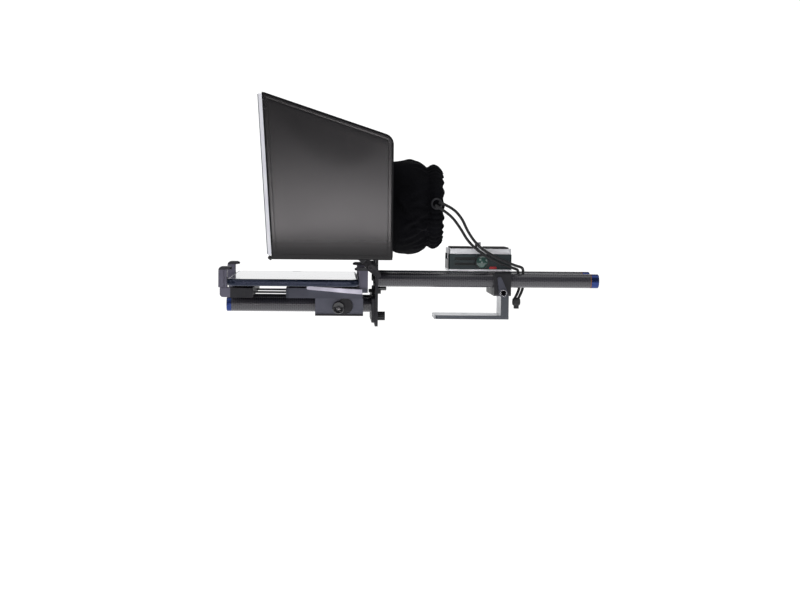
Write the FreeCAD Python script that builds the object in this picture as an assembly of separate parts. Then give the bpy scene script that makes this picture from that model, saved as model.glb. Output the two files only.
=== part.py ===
import FreeCAD, Part
import math
import os

# Teleprompter for a tablet, on a 15 mm rod support.
# Millimetres. +X points to the operator, -X to the talent, +Z is up.
# The origin is the centre of the tripod thread in the underside of the foot plate.

V = FreeCAD.Vector
os.makedirs("parts", exist_ok=True)

# ---- Driving dimensions ---------------------------------------------------------------------
GAP = 0.3                      # clearance between pieces that move past each other
RUN = 0.05                     # radial clearance of a running fit

ROD_R = 7.5                    # 15 mm support rods
ROD_BORE = 6.0                 # inner radius of the carbon tubes
ROD_Y = 30.0                   # each pair of rods sits at Y = +-30
UPPER_Z = 42.0                 # axis height of the upper rods
LOWER_Z = 15.0                 # axis height of the lower rods
UPPER_X = (-95.5, 130.4)
LOWER_X = (-249.6, -98.8)

FOOT_X = (-34.5, 45.0)
FOOT_Y = 22.5
FOOT_TOP = 4.0
TRIPOD_THREAD_R = 4.0          # 3/8 inch tripod thread
RISER_X = (36.5, 45.0)
CLAMP_X = (27.0, 45.0)
CLAMP_Y = 42.0
CLAMP_Z = (26.0, 51.5)
LONG_SCREW_X = 40.75
LONG_SCREW_Y = 12.0
LEVER_X = 36.3
LEVER_Z = 29.6

ADAPTER_X = (-20.5, 47.0)
ADAPTER_Y = 26.0
ADAPTER_PLATE_TOP = 53.5
ADAPTER_TOP = 69.5
CHANNEL_FLOOR = 63.5           # floor of the dovetail channel
CHANNEL_HALF = (17.3, 13.3)    # half widths at the floor and at the mouth
ADAPTER_KNOB_X = 14.9
ADAPTER_KNOB_Z = 61.5
ADAPTER_KNOB_R = 7.2
ADAPTER_KNOB_LONG = 6.5
ADAPTER_CAP_R = 6.2
ADAPTER_CAP_HIGH = 2.6
GROOVE_X = (-13.8, 8.4)        # grip grooves in the adapter's sides
GROOVES_Z = ((63.2, 66.3), (57.9, 60.5))
BUTTON_X = (23.0, 31.0)
BUTTON_Z = (53.9, 56.5)
CAMERA_PLATE_X = (-20.0, 46.5)
CAMERA_PLATE_Y = 25.0
CAMERA_PLATE_TOP = 75.4
CAMERA_PAD_TOP = 76.9
CAMERA_SCREW_X = 13.0
CAMERA_SCREW_R = 3.175         # 1/4 inch camera screw
CAMERA_STUD_TOP = 81.9

PLATE_X = (-98.5, -95.5)       # front plate that carries both pairs of rods
PLATE_Y = 45.0
PLATE_Z = (-7.0, 50.0)
EAR_Y = (33.0, 45.0)
EAR_TOP = 80.0
PIVOT_X = -103.0               # tilt axis of the mirror frame
PIVOT_Z = 55.0
BRACKET_HALF = 4.4             # half height of a hinge bracket
BRACKET_DEEP = 7.0
HEIGHT_KNOB_Z = 1.3
HEIGHT_KNOB_R = 4.8
HEIGHT_KNOB_LONG = 8.6
WING_Z = 28.5
WING_TIP_X = -104.4
HEIGHT_TRAVEL = 4.0

BRACKET_X = (-102.0, -98.8)    # rear flange that holds the lower rods
BRACKET_Z = (-3.0, 24.2)
CARRIAGE_X = (-161.4, -111.0)
CARRIAGE_Y = 45.0
CARRIAGE_Z = (4.2, 24.6)
CARRIAGE_KNOB_X = -137.0
CARRIAGE_KNOB_Z = 13.4
CARRIAGE_KNOB_R = 6.6
CARRIAGE_KNOB_LONG = 7.0
CARRIAGE_CAP_R = 5.9
CARRIAGE_CAP_LONG = 1.6
CARRIAGE_BOSS = (-130.0, 14.7)  # centre of the round boss behind the knob
CARRIAGE_BOSS_R = 8.2
CARRIAGE_BOSS_Y = 48.0

TRAY_X = (-191.0, -107.0)
TRAY_Y = 80.0
TRAY_TOP = 35.0
TRAY_PADS_X = ((-187.0, -177.0), (-134.0, -124.0))
TRAY_PAD_Y = 70.0
TRAY_TAIL = (-112.6, 30.5)     # behind this X the tray is thinner, with its underside at this Z
BAR_Y = (20.0, 32.0)
BAR_Z = (26.8, 28.4)
BAR_X = (-240.0, -130.0)
JAW_X = (-248.0, -225.0)
JAW_Y = 75.0
JAW_Z = (24.5, 34.5)
CLIP_Y = (66.0, 79.0)
CLIP_TOP = 56.5
CLIP_GROOVE = 1.2
LIP_BOTTOM = 53.2
FRONT_CLIP_X = (-260.2, -251.5)
REAR_CLIP_X = (-116.0, -107.0)
LOCK_LEVER_X = (-169.8, -113.0)
LOCK_LEVER_Z = (35.4, 31.7)    # axis height at its free end and at its pivot

TABLET_X = (-250.8, -116.3)
TABLET_Y = 100.0
TABLET_Z = (37.6, 44.8)
TABLET_GLASS = 1.0
HOME_BUTTON_R = 5.0

MIRROR_START = 12.0            # where the mirror frame starts, measured from the tilt axis
MIRROR_END = 150.0
MIRROR_HALF = 105.0            # half width of the mirror frame
BAR_WIDE = 8.0
BAR_THICK = 6.0
GLASS_THICK = 2.0
ARM_Y = (45.3, 49.3)
ARM_TAIL = 11.0                # how far a hinge arm reaches past the tilt axis
ARM_EYE_R = 4.4                # hinge arm round its screw
ARM_END_R = 2.7                # hinge arm at both ends
TILT_SCREW_R = 2.0

HOOD_Y = 112.0
PANEL = 3.0                    # board thickness of the hood
HOOD_FRONT_LOW = (-204.5, 65.7)
HOOD_FRONT_TOP = (-215.6, 232.6)
HOOD_REAR_TOP = (-83.3, 189.4)
HOOD_REAR_LOW = (-83.3, 65.7)
HOOD_CORNER_R = 10.0
TRIM_WIDE = 3.6

LENS_Z = 119.5                 # lens axis height
LENS_HOLE_R = 44.0
RING_R = 52.0
SHROUD_WALL = 3.0
SHROUD_LINE = [(-81.3, 49.0), (-62.0, 50.5), (-50.0, 48.0), (-37.0, 46.5), (-30.0, 43.5), (-25.0, 35.5)]

CORD_R = 1.5
LOCK_AT = (53.5, -17.5)        # cord lock centre in plan
LOCK_R = 4.5
LOCK_Z = (14.5, 23.0)


# ---- Shape helpers --------------------------------------------------------------------------
def block(x, y, z):
    """Box from low and high values on each axis."""
    return Part.makeBox(x[1] - x[0], y[1] - y[0], z[1] - z[0], V(x[0], y[0], z[0]))


def cyl_x(x, y, z, r):
    return Part.makeCylinder(r, x[1] - x[0], V(x[0], y, z), V(1, 0, 0))


def cyl_y(x, y, z, r):
    return Part.makeCylinder(r, y[1] - y[0], V(x, y[0], z), V(0, 1, 0))


def cyl_z(x, y, z, r):
    return Part.makeCylinder(r, z[1] - z[0], V(x, y, z[0]), V(0, 0, 1))


def mirrored(shape):
    """The same piece on the other side of the XZ plane."""
    return shape.mirror(V(0, 0, 0), V(0, 1, 0))


def both(shape):
    return [shape, mirrored(shape)]


def round_along(shape, axis, r, keep=None):
    """Fillets the straight edges parallel to an axis, filtered by keep(mid point)."""
    chosen = []
    for edge in shape.Edges:
        if len(edge.Vertexes) != 2:
            continue
        run = edge.Vertexes[1].Point - edge.Vertexes[0].Point
        if run.Length < 1e-6 or abs(run.dot(axis)) < 0.999 * run.Length:
            continue
        if abs(edge.Length - run.Length) > 1e-6:
            continue
        middle = (edge.Vertexes[1].Point + edge.Vertexes[0].Point) * 0.5
        if keep is None or keep(middle):
            chosen.append(edge)
    return shape.makeFillet(r, chosen)


def extrude_xz(points, y):
    """Closed outline of (x, z) points, extruded from y[0] to y[1]."""
    ring = [V(px, y[0], pz) for px, pz in points]
    face = Part.Face(Part.makePolygon(ring + [ring[0]]))
    return face.extrude(V(0, y[1] - y[0], 0))


def extrude_yz(points, x):
    """Closed outline of (y, z) points, extruded from x[0] to x[1]."""
    ring = [V(x[0], py, pz) for py, pz in points]
    face = Part.Face(Part.makePolygon(ring + [ring[0]]))
    return face.extrude(V(x[1] - x[0], 0, 0))


def teardrop(start, start_r, end, end_r, y):
    """Flat lever in the XZ plane: two round ends and the straight sides that touch both."""
    run_x = end[0] - start[0]
    run_z = end[1] - start[1]
    length = math.hypot(run_x, run_z)
    heading = math.atan2(run_z, run_x)
    spread = math.acos((start_r - end_r) / length)
    corners = []
    for centre, r, turn in ((start, start_r, spread), (end, end_r, spread),
                            (end, end_r, -spread), (start, start_r, -spread)):
        angle = heading + turn
        corners.append((centre[0] + r * math.cos(angle), centre[1] + r * math.sin(angle)))
    solid = extrude_xz(corners, y)
    for centre, r in ((start, start_r), (end, end_r)):
        solid = solid.fuse(cyl_y(centre[0], y, centre[1], r))
    return solid.removeSplitter()


def knurled_y(x, y, z, r, count, notch):
    """Knob along Y with notches round its rim."""
    knob = cyl_y(x, y, z, r)
    notches = []
    for i in range(count):
        angle = 2 * math.pi * i / count
        notches.append(cyl_y(x + r * math.cos(angle), (y[0] - 1, y[1] + 1), z + r * math.sin(angle), notch))
    return knob.cut(Part.makeCompound(notches))


def knurled_x(x, y, z, r, count, notch):
    """Knob along X with notches round its rim."""
    knob = cyl_x(x, y, z, r)
    notches = []
    for i in range(count):
        angle = 2 * math.pi * i / count
        notches.append(cyl_x((x[0] - 1, x[1] + 1), y + r * math.cos(angle), z + r * math.sin(angle), notch))
    return knob.cut(Part.makeCompound(notches))


def hex_socket_y(x, y, z, across):
    """Hexagonal socket along Y, sized across its flats."""
    r = across / math.sqrt(3)
    corners = [(x + r * math.cos(math.pi / 3 * i), z + r * math.sin(math.pi / 3 * i)) for i in range(6)]
    return extrude_xz(corners, y)


def save(node, pieces):
    """Writes one node. A list becomes a group of separate solids."""
    shape = Part.makeCompound(pieces) if isinstance(pieces, list) else pieces
    for solid in shape.Solids:
        assert solid.isValid(), node
    assert shape.Solids, node
    shape.exportStep("parts/" + node + ".step")
    print("%-22s solids %2d  volume %9.1f" % (node, len(shape.Solids), shape.Volume))


# ---- Foot, riser and rod clamp --------------------------------------------------------------
def make_base():
    foot = block(FOOT_X, (-FOOT_Y, FOOT_Y), (0, FOOT_TOP))
    foot = round_along(foot, V(0, 0, 1), 3.0, lambda p: p.x < 0)
    foot = foot.cut(cyl_z(0, 0, (-1, FOOT_TOP + 1), TRIPOD_THREAD_R))
    riser = block(RISER_X, (-FOOT_Y, FOOT_Y), (FOOT_TOP, CLAMP_Z[0]))
    clamp = block(CLAMP_X, (-CLAMP_Y, CLAMP_Y), CLAMP_Z)
    clamp = round_along(clamp, V(1, 0, 0), 3.0)

    # Two long screws come up through the foot and riser into the clamp block.
    head_r = 3.5
    head_top = 2.2
    screws = []
    for side in (-1, 1):
        y = side * LONG_SCREW_Y
        shaft = cyl_z(LONG_SCREW_X, y, (head_top, 40.0), 2.0)
        head = cyl_z(LONG_SCREW_X, y, (0.2, head_top), head_r)
        head = head.cut(block((LONG_SCREW_X - 3, LONG_SCREW_X + 3), (y - 0.5, y + 0.5), (0, 1.2)))
        screws.append(shaft.fuse(head))
        foot = foot.cut(cyl_z(LONG_SCREW_X, y, (-1, head_top), head_r)).cut(shaft)
        riser = riser.cut(shaft)
        clamp = clamp.cut(shaft)

    # Each rod bore opens into a slit, which the cross screw closes to grip the rod.
    for side in (-1, 1):
        y = side * ROD_Y
        clamp = clamp.cut(cyl_x((CLAMP_X[0] - 1, CLAMP_X[1] + 1), y, UPPER_Z, ROD_R + RUN))
        slit = block((CLAMP_X[0] - 1, CLAMP_X[1] + 1), (y - 0.8, y + 0.8), (CLAMP_Z[0] - 1, UPPER_Z))
        clamp = clamp.cut(slit)
    clamp = clamp.cut(cyl_y(LEVER_X, (-CLAMP_Y - 1, CLAMP_Y + 1), LEVER_Z, 2.0 + RUN))
    nut = hex_socket_y(LEVER_X, (CLAMP_Y, CLAMP_Y + 3.2), LEVER_Z, 7.0)
    nut = nut.cut(cyl_y(LEVER_X, (CLAMP_Y - 1, CLAMP_Y + 5), LEVER_Z, 2.0 + RUN))

    save("foot_plate", foot)
    save("riser_block", riser)
    save("rod_clamp_block", clamp)
    save("base_screws", screws)
    save("clamp_nut", nut)


def make_clamp_lever():
    y = (-CLAMP_Y - 4.5, -CLAMP_Y - GAP)
    lever = teardrop((LEVER_X, LEVER_Z), 4.7, (LEVER_X - 3.9, LEVER_Z + 14.7), 2.2, y)
    shaft = cyl_y(LEVER_X, (y[0], CLAMP_Y + 3.6), LEVER_Z, 2.0)
    lever = lever.cut(shaft)
    screw = shaft.fuse(cyl_y(LEVER_X, (y[0] - 3.0, y[0]), LEVER_Z, 3.9))
    screw = screw.cut(hex_socket_y(LEVER_X, (y[0] - 4.0, y[0] - 1.0), LEVER_Z, 4.0))
    save("clamp_lever", lever)
    save("clamp_lever_screw", screw)


# ---- Quick release adapter ------------------------------------------------------------------
def dovetail(floor, half, mouth_z, mouth_half, x):
    """Dovetail bar or channel along X, wide at its floor and narrow at its mouth."""
    return extrude_yz([(-half, floor), (half, floor), (mouth_half, mouth_z), (-mouth_half, mouth_z)], x)


def button_bar(extra, y):
    """Flat bar with round ends, which is the button's section grown by extra."""
    r = (BUTTON_Z[1] - BUTTON_Z[0]) / 2
    z = (BUTTON_Z[0] + BUTTON_Z[1]) / 2
    ends = (BUTTON_X[0] + r, BUTTON_X[1] - r)
    bar = block(ends, y, (z - r - extra, z + r + extra))
    for x in ends:
        bar = bar.fuse(cyl_y(x, y, z, r + extra))
    return bar.removeSplitter()


def make_adapter():
    through = (ADAPTER_X[0] - 1, ADAPTER_X[1] + 1)
    plate = block(ADAPTER_X, (-ADAPTER_Y, ADAPTER_Y), (CLAMP_Z[1], ADAPTER_PLATE_TOP))
    body = block(ADAPTER_X, (-ADAPTER_Y, ADAPTER_Y), (ADAPTER_PLATE_TOP, ADAPTER_TOP))
    body = round_along(body, V(0, 0, 1), 2.0)
    body = body.cut(dovetail(CHANNEL_FLOOR, CHANNEL_HALF[0], ADAPTER_TOP, CHANNEL_HALF[1], through))
    body = body.cut(block(through, (-CHANNEL_HALF[1], CHANNEL_HALF[1]), (ADAPTER_TOP - 0.01, ADAPTER_TOP + 1)))
    for z in GROOVES_Z:
        groove = block(GROOVE_X, (-ADAPTER_Y - 1, -ADAPTER_Y + 1.5), z)
        body = body.cut(groove).cut(mirrored(groove))
    body = body.cut(cyl_y(ADAPTER_KNOB_X, (-ADAPTER_Y - 1, -15.0), ADAPTER_KNOB_Z, 2.0 + RUN))
    body = body.cut(button_bar(RUN, (-ADAPTER_Y - 1, -16.0)))

    screws = []
    for x in (-10.0, 20.0):
        for y in (-16.0, 16.0):
            shaft = cyl_z(x, y, (ADAPTER_PLATE_TOP, 60.0), 1.5)
            head = Part.makeCone(3.0, 1.5, 1.9, V(x, y, ADAPTER_PLATE_TOP - 1.9), V(0, 0, 1))
            screws.append(head.fuse(shaft))
            body = body.cut(shaft)
            plate = plate.cut(Part.makeCone(3.0, 1.5, 1.9, V(x, y, ADAPTER_PLATE_TOP - 1.9), V(0, 0, 1)))
            plate = plate.cut(cyl_z(x, y, (CLAMP_Z[1] - 1, ADAPTER_PLATE_TOP - 1.9), 3.0))
    save("adapter_plate", plate)
    save("adapter_body", body)
    save("adapter_screws", screws)


def make_adapter_controls():
    front = -ADAPTER_Y - GAP
    base_y = front - ADAPTER_KNOB_LONG
    knob = knurled_y(ADAPTER_KNOB_X, (base_y, front), ADAPTER_KNOB_Z, ADAPTER_KNOB_R, 24, 0.5)
    knob = knob.fuse(cyl_y(ADAPTER_KNOB_X, (front - 0.5, -17.0), ADAPTER_KNOB_Z, 2.0))
    # The cap is a low dome that sits on the outer face of the knob.
    sphere_r = (ADAPTER_CAP_R ** 2 + ADAPTER_CAP_HIGH ** 2) / (2 * ADAPTER_CAP_HIGH)
    dome = Part.makeSphere(sphere_r, V(ADAPTER_KNOB_X, base_y - ADAPTER_CAP_HIGH + sphere_r, ADAPTER_KNOB_Z))
    reach = (base_y - ADAPTER_CAP_HIGH - 1, base_y)
    cap = dome.common(cyl_y(ADAPTER_KNOB_X, reach, ADAPTER_KNOB_Z, ADAPTER_CAP_R + 1))
    button = button_bar(0, (-ADAPTER_Y - 2.0, -18.5))
    save("adapter_knob", knob)
    save("adapter_knob_cap", cap)
    save("release_button", button)


def make_camera_plate():
    foot_low = CHANNEL_FLOOR + GAP
    low = ADAPTER_TOP + GAP
    slope = (CHANNEL_HALF[0] - CHANNEL_HALF[1]) / (ADAPTER_TOP - CHANNEL_FLOOR)
    side_gap = 0.45
    half_low = CHANNEL_HALF[0] - GAP * slope - side_gap
    half_high = half_low - (low - foot_low) * slope
    foot_x = (CAMERA_PLATE_X[0] + 1, CAMERA_PLATE_X[1] - 1)
    foot = dovetail(foot_low, half_low, low, half_high, foot_x)
    plate = block(CAMERA_PLATE_X, (-CAMERA_PLATE_Y, CAMERA_PLATE_Y), (low, CAMERA_PLATE_TOP))
    plate = round_along(plate, V(0, 0, 1), 2.0)
    plate = plate.fuse(foot).removeSplitter()
    pad_y = (-CAMERA_PLATE_Y + 2.5, CAMERA_PLATE_Y - 2.5)
    pads = []
    for x in ((CAMERA_PLATE_X[0] + 2.5, CAMERA_SCREW_X - 7), (CAMERA_SCREW_X + 7, CAMERA_PLATE_X[1] - 2.5)):
        pads.append(round_along(block(x, pad_y, (CAMERA_PLATE_TOP, CAMERA_PAD_TOP)), V(0, 0, 1), 2.0))
    plate = plate.cut(cyl_z(CAMERA_SCREW_X, 0, (foot_low - 1, 80), CAMERA_SCREW_R + 0.08))
    plate = plate.cut(cyl_z(CAMERA_SCREW_X, 0, (foot_low - 1, 67.8), 6.0 + GAP))
    screw = cyl_z(CAMERA_SCREW_X, 0, (64.2, 67.5), 6.0)
    screw = screw.cut(block((CAMERA_SCREW_X - 7, CAMERA_SCREW_X + 7), (-0.8, 0.8), (64, 65.4)))
    # The neck inside the plate is thinner than the stud, which keeps the screw captive.
    screw = screw.fuse(cyl_z(CAMERA_SCREW_X, 0, (67.4, CAMERA_PAD_TOP), 2.9))
    screw = screw.fuse(cyl_z(CAMERA_SCREW_X, 0, (CAMERA_PAD_TOP, CAMERA_STUD_TOP), CAMERA_SCREW_R))
    save("camera_plate", plate)
    save("camera_plate_pads", pads)
    save("camera_screw", screw)


# ---- Upper rods and front plate -------------------------------------------------------------
def end_cap(end_x, inward, z, y):
    """Anodised plug with a turned head. inward is the direction into the tube, +1 or -1."""
    head = Part.makeCylinder(ROD_R, 8.0, V(end_x, y, z), V(-inward, 0, 0))
    outer = [e for e in head.Edges if e.Curve.TypeId == "Part::GeomCircle"
             and abs(e.CenterOfMass.x - (end_x - 8.0 * inward)) < 0.01]
    head = head.makeChamfer(0.8, outer)
    return head.fuse(Part.makeCylinder(ROD_BORE, 10.0, V(end_x, y, z), V(inward, 0, 0)))


def make_upper_rods():
    rods = []
    caps = []
    rings = []
    screws = []
    inserts = []
    ring_wide = 1.0
    for side in (-1, 1):
        y = side * ROD_Y
        tube = cyl_x(UPPER_X, y, UPPER_Z, ROD_R)
        rods.append(tube.cut(cyl_x((UPPER_X[0] - 1, UPPER_X[1] + 1), y, UPPER_Z, ROD_BORE)))
        ring = cyl_x((UPPER_X[1], UPPER_X[1] + ring_wide), y, UPPER_Z, ROD_R)
        rings.append(ring.cut(cyl_x((UPPER_X[1] - 1, UPPER_X[1] + 2), y, UPPER_Z, ROD_BORE)))
        caps.append(end_cap(UPPER_X[1] + ring_wide, -1, UPPER_Z, y))
        shaft = cyl_x((PLATE_X[0], -84.0), y, UPPER_Z, 2.5)
        screws.append(shaft.fuse(cyl_x((PLATE_X[0] - 2.0, PLATE_X[0]), y, UPPER_Z, 4.2)))
        insert = cyl_x((UPPER_X[0], -80.0), y, UPPER_Z, ROD_BORE)
        inserts.append(insert.cut(shaft))
    save("upper_rods", rods)
    save("upper_rod_caps", caps)
    save("upper_rod_cap_rings", rings)
    save("rod_end_screws", screws)
    save("rod_inserts", inserts)


def slot_x(x, y, z, r):
    """Upright slot through a plate: r is half its width, z its lowest and highest centre."""
    middle = block(x, (y - r, y + r), z)
    return middle.fuse(cyl_x(x, y, z[0], r)).fuse(cyl_x(x, y, z[1], r))


def make_front_plate():
    outline = [(-PLATE_Y, PLATE_Z[0]), (PLATE_Y, PLATE_Z[0]), (EAR_Y[1], EAR_TOP), (EAR_Y[0], EAR_TOP),
               (EAR_Y[0], PLATE_Z[1]), (-EAR_Y[0], PLATE_Z[1]), (-EAR_Y[0], EAR_TOP), (-EAR_Y[1], EAR_TOP)]
    plate = extrude_yz(outline, PLATE_X)
    plate = round_along(plate, V(1, 0, 0), 3.0)
    cut_x = (PLATE_X[0] - 1, PLATE_X[1] + 1)
    slot_r = 2.0 + GAP
    for z in (HEIGHT_KNOB_Z, WING_Z):
        plate = plate.cut(slot_x(cut_x, 0, (z - HEIGHT_TRAVEL, z + HEIGHT_TRAVEL), slot_r))
    for side in (-1, 1):
        plate = plate.cut(cyl_x(cut_x, side * ROD_Y, UPPER_Z, 2.5))
    half = BRACKET_HALF
    deep = (EAR_Y[1] - BRACKET_DEEP, EAR_Y[1])
    bracket = block((PIVOT_X - half, PLATE_X[0]), deep, (PIVOT_Z - half, PIVOT_Z + half))
    bracket = round_along(bracket, V(0, 1, 0), half - 0.3, lambda p: p.x < PIVOT_X)
    bracket = bracket.cut(cyl_y(PIVOT_X, (EAR_Y[1] - BRACKET_DEEP - 1, EAR_Y[1] + 1), PIVOT_Z, TILT_SCREW_R))
    screw = cyl_y(PIVOT_X, (EAR_Y[1] - BRACKET_DEEP, ARM_Y[1] + GAP), PIVOT_Z, TILT_SCREW_R)
    screw = screw.fuse(cyl_y(PIVOT_X, (ARM_Y[1] + GAP, ARM_Y[1] + 2.6), PIVOT_Z, 3.4))
    screw = screw.cut(hex_socket_y(PIVOT_X, (ARM_Y[1] + 1.2, ARM_Y[1] + 4), PIVOT_Z, 2.5))
    save("front_plate", plate)
    save("hinge_brackets", both(bracket))
    save("tilt_screws", both(screw))


# ---- Lower rods, their bracket and its clamp screws -----------------------------------------
def make_lower_frame():
    bracket = block(BRACKET_X, (-PLATE_Y, PLATE_Y), BRACKET_Z)
    bracket = round_along(bracket, V(1, 0, 0), 3.0)
    tab = block((BRACKET_X[1] - 2.2, BRACKET_X[1]), (-6.0, 6.0), (BRACKET_Z[1] - 2.0, WING_Z + 5.5))
    bracket = bracket.fuse(tab)
    through = (BRACKET_X[0] - 1, BRACKET_X[1] + 1)
    bracket = bracket.cut(block(through, (-16.0, 16.0), (7.0, 18.0)))
    for side in (-1, 1):
        bracket = bracket.cut(cyl_x(through, side * ROD_Y, LOWER_Z, ROD_R))
    for z in (HEIGHT_KNOB_Z, WING_Z):
        bracket = bracket.cut(cyl_x(through, 0, z, 2.0 + RUN))
    rods = []
    caps = []
    for side in (-1, 1):
        y = side * ROD_Y
        tube = cyl_x(LOWER_X, y, LOWER_Z, ROD_R)
        rods.append(tube.cut(cyl_x((LOWER_X[0] - 1, LOWER_X[1] + 1), y, LOWER_Z, ROD_BORE)))
        head = Part.makeCylinder(ROD_R, 5.0, V(LOWER_X[0], y, LOWER_Z), V(-1, 0, 0))
        outer = [e for e in head.Edges if e.Curve.TypeId == "Part::GeomCircle"
                 and abs(e.CenterOfMass.x - (LOWER_X[0] - 5.0)) < 0.01]
        head = head.makeChamfer(0.8, outer)
        caps.append(head.fuse(cyl_x((LOWER_X[0], LOWER_X[0] + 10), y, LOWER_Z, ROD_BORE)))
    save("lower_bracket", bracket)
    save("lower_rods", rods)
    save("lower_rod_caps", caps)


def make_height_screws():
    back = PLATE_X[1] + GAP
    knob = knurled_x((back, back + HEIGHT_KNOB_LONG), 0, HEIGHT_KNOB_Z, HEIGHT_KNOB_R, 12, 0.8)
    knob = knob.fuse(cyl_x((BRACKET_X[0], back + 0.5), 0, HEIGHT_KNOB_Z, 2.0))
    save("height_knob", knob)
    wing = cyl_x((back, back + 4.0), 0, WING_Z, 3.4)
    for side in (-1, 1):
        leaf = block((back + 1.0, back + 9.8), (-1.0, 1.0), (3.0, 8.5))
        leaf = round_along(leaf, V(0, 1, 0), 2.0, lambda p: p.z > 6)
        leaf.rotate(V(0, 0, 0), V(1, 0, 0), 62.0 * side)
        leaf.translate(V(0, 0, WING_Z))
        wing = wing.fuse(leaf)
    wing = wing.fuse(cyl_x((WING_TIP_X, back + 0.5), 0, WING_Z, 2.0))
    save("wing_screw", wing)


# ---- Carriage, tray and clips ---------------------------------------------------------------
def make_carriage():
    low, high = CARRIAGE_Z
    body = block(CARRIAGE_X, (-CARRIAGE_Y, CARRIAGE_Y), CARRIAGE_Z)
    for z in ((low, low + 2.0), (high - 2.0, high)):
        body = body.fuse(block(CARRIAGE_X, (-CARRIAGE_Y - 1, CARRIAGE_Y + 1), z))
    boss_x, boss_z = CARRIAGE_BOSS
    body = body.fuse(cyl_y(boss_x, (-CARRIAGE_BOSS_Y, -CARRIAGE_Y), boss_z, CARRIAGE_BOSS_R))
    for side in (-1, 1):
        body = body.cut(cyl_x((CARRIAGE_X[0] - 1, CARRIAGE_X[1] + 1), side * ROD_Y, LOWER_Z, ROD_R + RUN))
    body = body.cut(cyl_y(CARRIAGE_KNOB_X, (-CARRIAGE_BOSS_Y - 1, -ROD_Y), CARRIAGE_KNOB_Z, 2.5 + RUN))
    face = -CARRIAGE_BOSS_Y - GAP
    head = face - CARRIAGE_KNOB_LONG
    knob = knurled_y(CARRIAGE_KNOB_X, (head, face), CARRIAGE_KNOB_Z, CARRIAGE_KNOB_R, 20, 0.5)
    cap_y = (head - CARRIAGE_CAP_LONG, head + 0.5)
    knob = knob.fuse(cyl_y(CARRIAGE_KNOB_X, cap_y, CARRIAGE_KNOB_Z, CARRIAGE_CAP_R))
    knob = knob.fuse(cyl_y(CARRIAGE_KNOB_X, (face - 0.5, -ROD_Y - ROD_R - 0.7), CARRIAGE_KNOB_Z, 2.5))
    save("carriage_block", body)
    save("carriage_knob", knob)


def make_tray():
    tray = block(TRAY_X, (-TRAY_Y, TRAY_Y), (CARRIAGE_Z[1], TRAY_TOP))
    tray = round_along(tray, V(0, 0, 1), 3.0)
    tunnel_y = (BAR_Y[0] - GAP, BAR_Y[1] + GAP)
    tunnel = block((TRAY_X[0] - 1, BAR_X[1] + 4), tunnel_y, (BAR_Z[0] - GAP, BAR_Z[1] + GAP))
    pocket = block((TRAY_X[0] + 4, TRAY_X[1] - 12), (48.0, TRAY_Y - 4), (CARRIAGE_Z[1] - 1, TRAY_TOP - 3))
    for cutter in (tunnel, pocket):
        tray = tray.cut(cutter).cut(mirrored(cutter))
    under_tail = (CARRIAGE_Z[1] - 1, TRAY_TAIL[1])
    tray = tray.cut(block((TRAY_TAIL[0], TRAY_X[1] + 1), (-TRAY_Y - 1, TRAY_Y + 1), under_tail))
    pads = []
    for x in TRAY_PADS_X:
        pads.append(block(x, (-TRAY_PAD_Y, TRAY_PAD_Y), (TRAY_TOP, TABLET_Z[0] - 0.1)))
    pivot_x = LOCK_LEVER_X[1] - 2.6
    end_z, pivot_z = LOCK_LEVER_Z
    tray = tray.cut(cyl_y(pivot_x, (-TRAY_Y - 1, -TRAY_Y + 3.9), pivot_z, 1.5 + RUN))
    lever_y = (-TRAY_Y - GAP - 4.0, -TRAY_Y - GAP)
    lever = teardrop((pivot_x, pivot_z), 2.4, (LOCK_LEVER_X[0] + 1.7, end_z), 1.7, lever_y)
    square_end = block((pivot_x, LOCK_LEVER_X[1]), lever_y, (pivot_z - 2.4, pivot_z + 2.4))
    lever = lever.fuse(square_end).removeSplitter()
    lever = lever.fuse(cyl_y(pivot_x, (lever_y[1] - 0.5, -TRAY_Y + 3.5), pivot_z, 1.5))
    save("tray", tray)
    save("slide_lock_lever", lever)
    return pads


def make_clip(column_x, inward):
    """Upright clip with a lip over the tablet's edge. inward is +1 or -1 along X."""
    column = block(column_x, CLIP_Y, (TRAY_TOP, CLIP_TOP))
    inner = column_x[1] if inward > 0 else column_x[0]
    lip_x = sorted((inner, inner + inward * 3.0))
    tip_x = sorted((inner + inward * 3.0, inner + inward * 4.6))
    clip = column.fuse(block(lip_x, CLIP_Y, (LIP_BOTTOM, CLIP_TOP))).removeSplitter()
    outer = column_x[0] if inward > 0 else column_x[1]
    clip = round_along(clip, V(0, 1, 0), 4.0, lambda p: abs(p.x - outer) < 0.1 and p.z > LIP_BOTTOM)
    tip = block(tip_x, (CLIP_Y[0] + 1, CLIP_Y[1] - 1), (LIP_BOTTOM + 0.3, CLIP_TOP - 0.8))
    return clip, tip


def make_rear_clips(pads):
    clip, tip = make_clip(REAR_CLIP_X, -1)
    save("rear_clips", both(clip))
    save("tray_rubber_pads", pads + both(tip))


def make_front_clips():
    clip, tip = make_clip(FRONT_CLIP_X, 1)
    foot = block((FRONT_CLIP_X[0] + 1.5, JAW_X[0]), CLIP_Y, (25.0, TRAY_TOP))
    foot = round_along(foot, V(0, 1, 0), 3.5, lambda p: p.x < JAW_X[0] - 1 and p.z < 30)
    clip = clip.fuse(foot).removeSplitter()
    # A channel down the outer face and a line across it above the foot.
    face_y = (CLIP_Y[1] - CLIP_GROOVE, CLIP_Y[1] + 1)
    groove_x = (FRONT_CLIP_X[0] + 5.4, FRONT_CLIP_X[0] + 6.5)
    clip = clip.cut(block(groove_x, face_y, (TRAY_TOP + 1, LIP_BOTTOM)))
    clip = clip.cut(block((FRONT_CLIP_X[0] - 1, JAW_X[0]), face_y, (TRAY_TOP - 0.7, TRAY_TOP + 0.2)))
    save("front_clips", both(clip))
    return both(tip)


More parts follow.
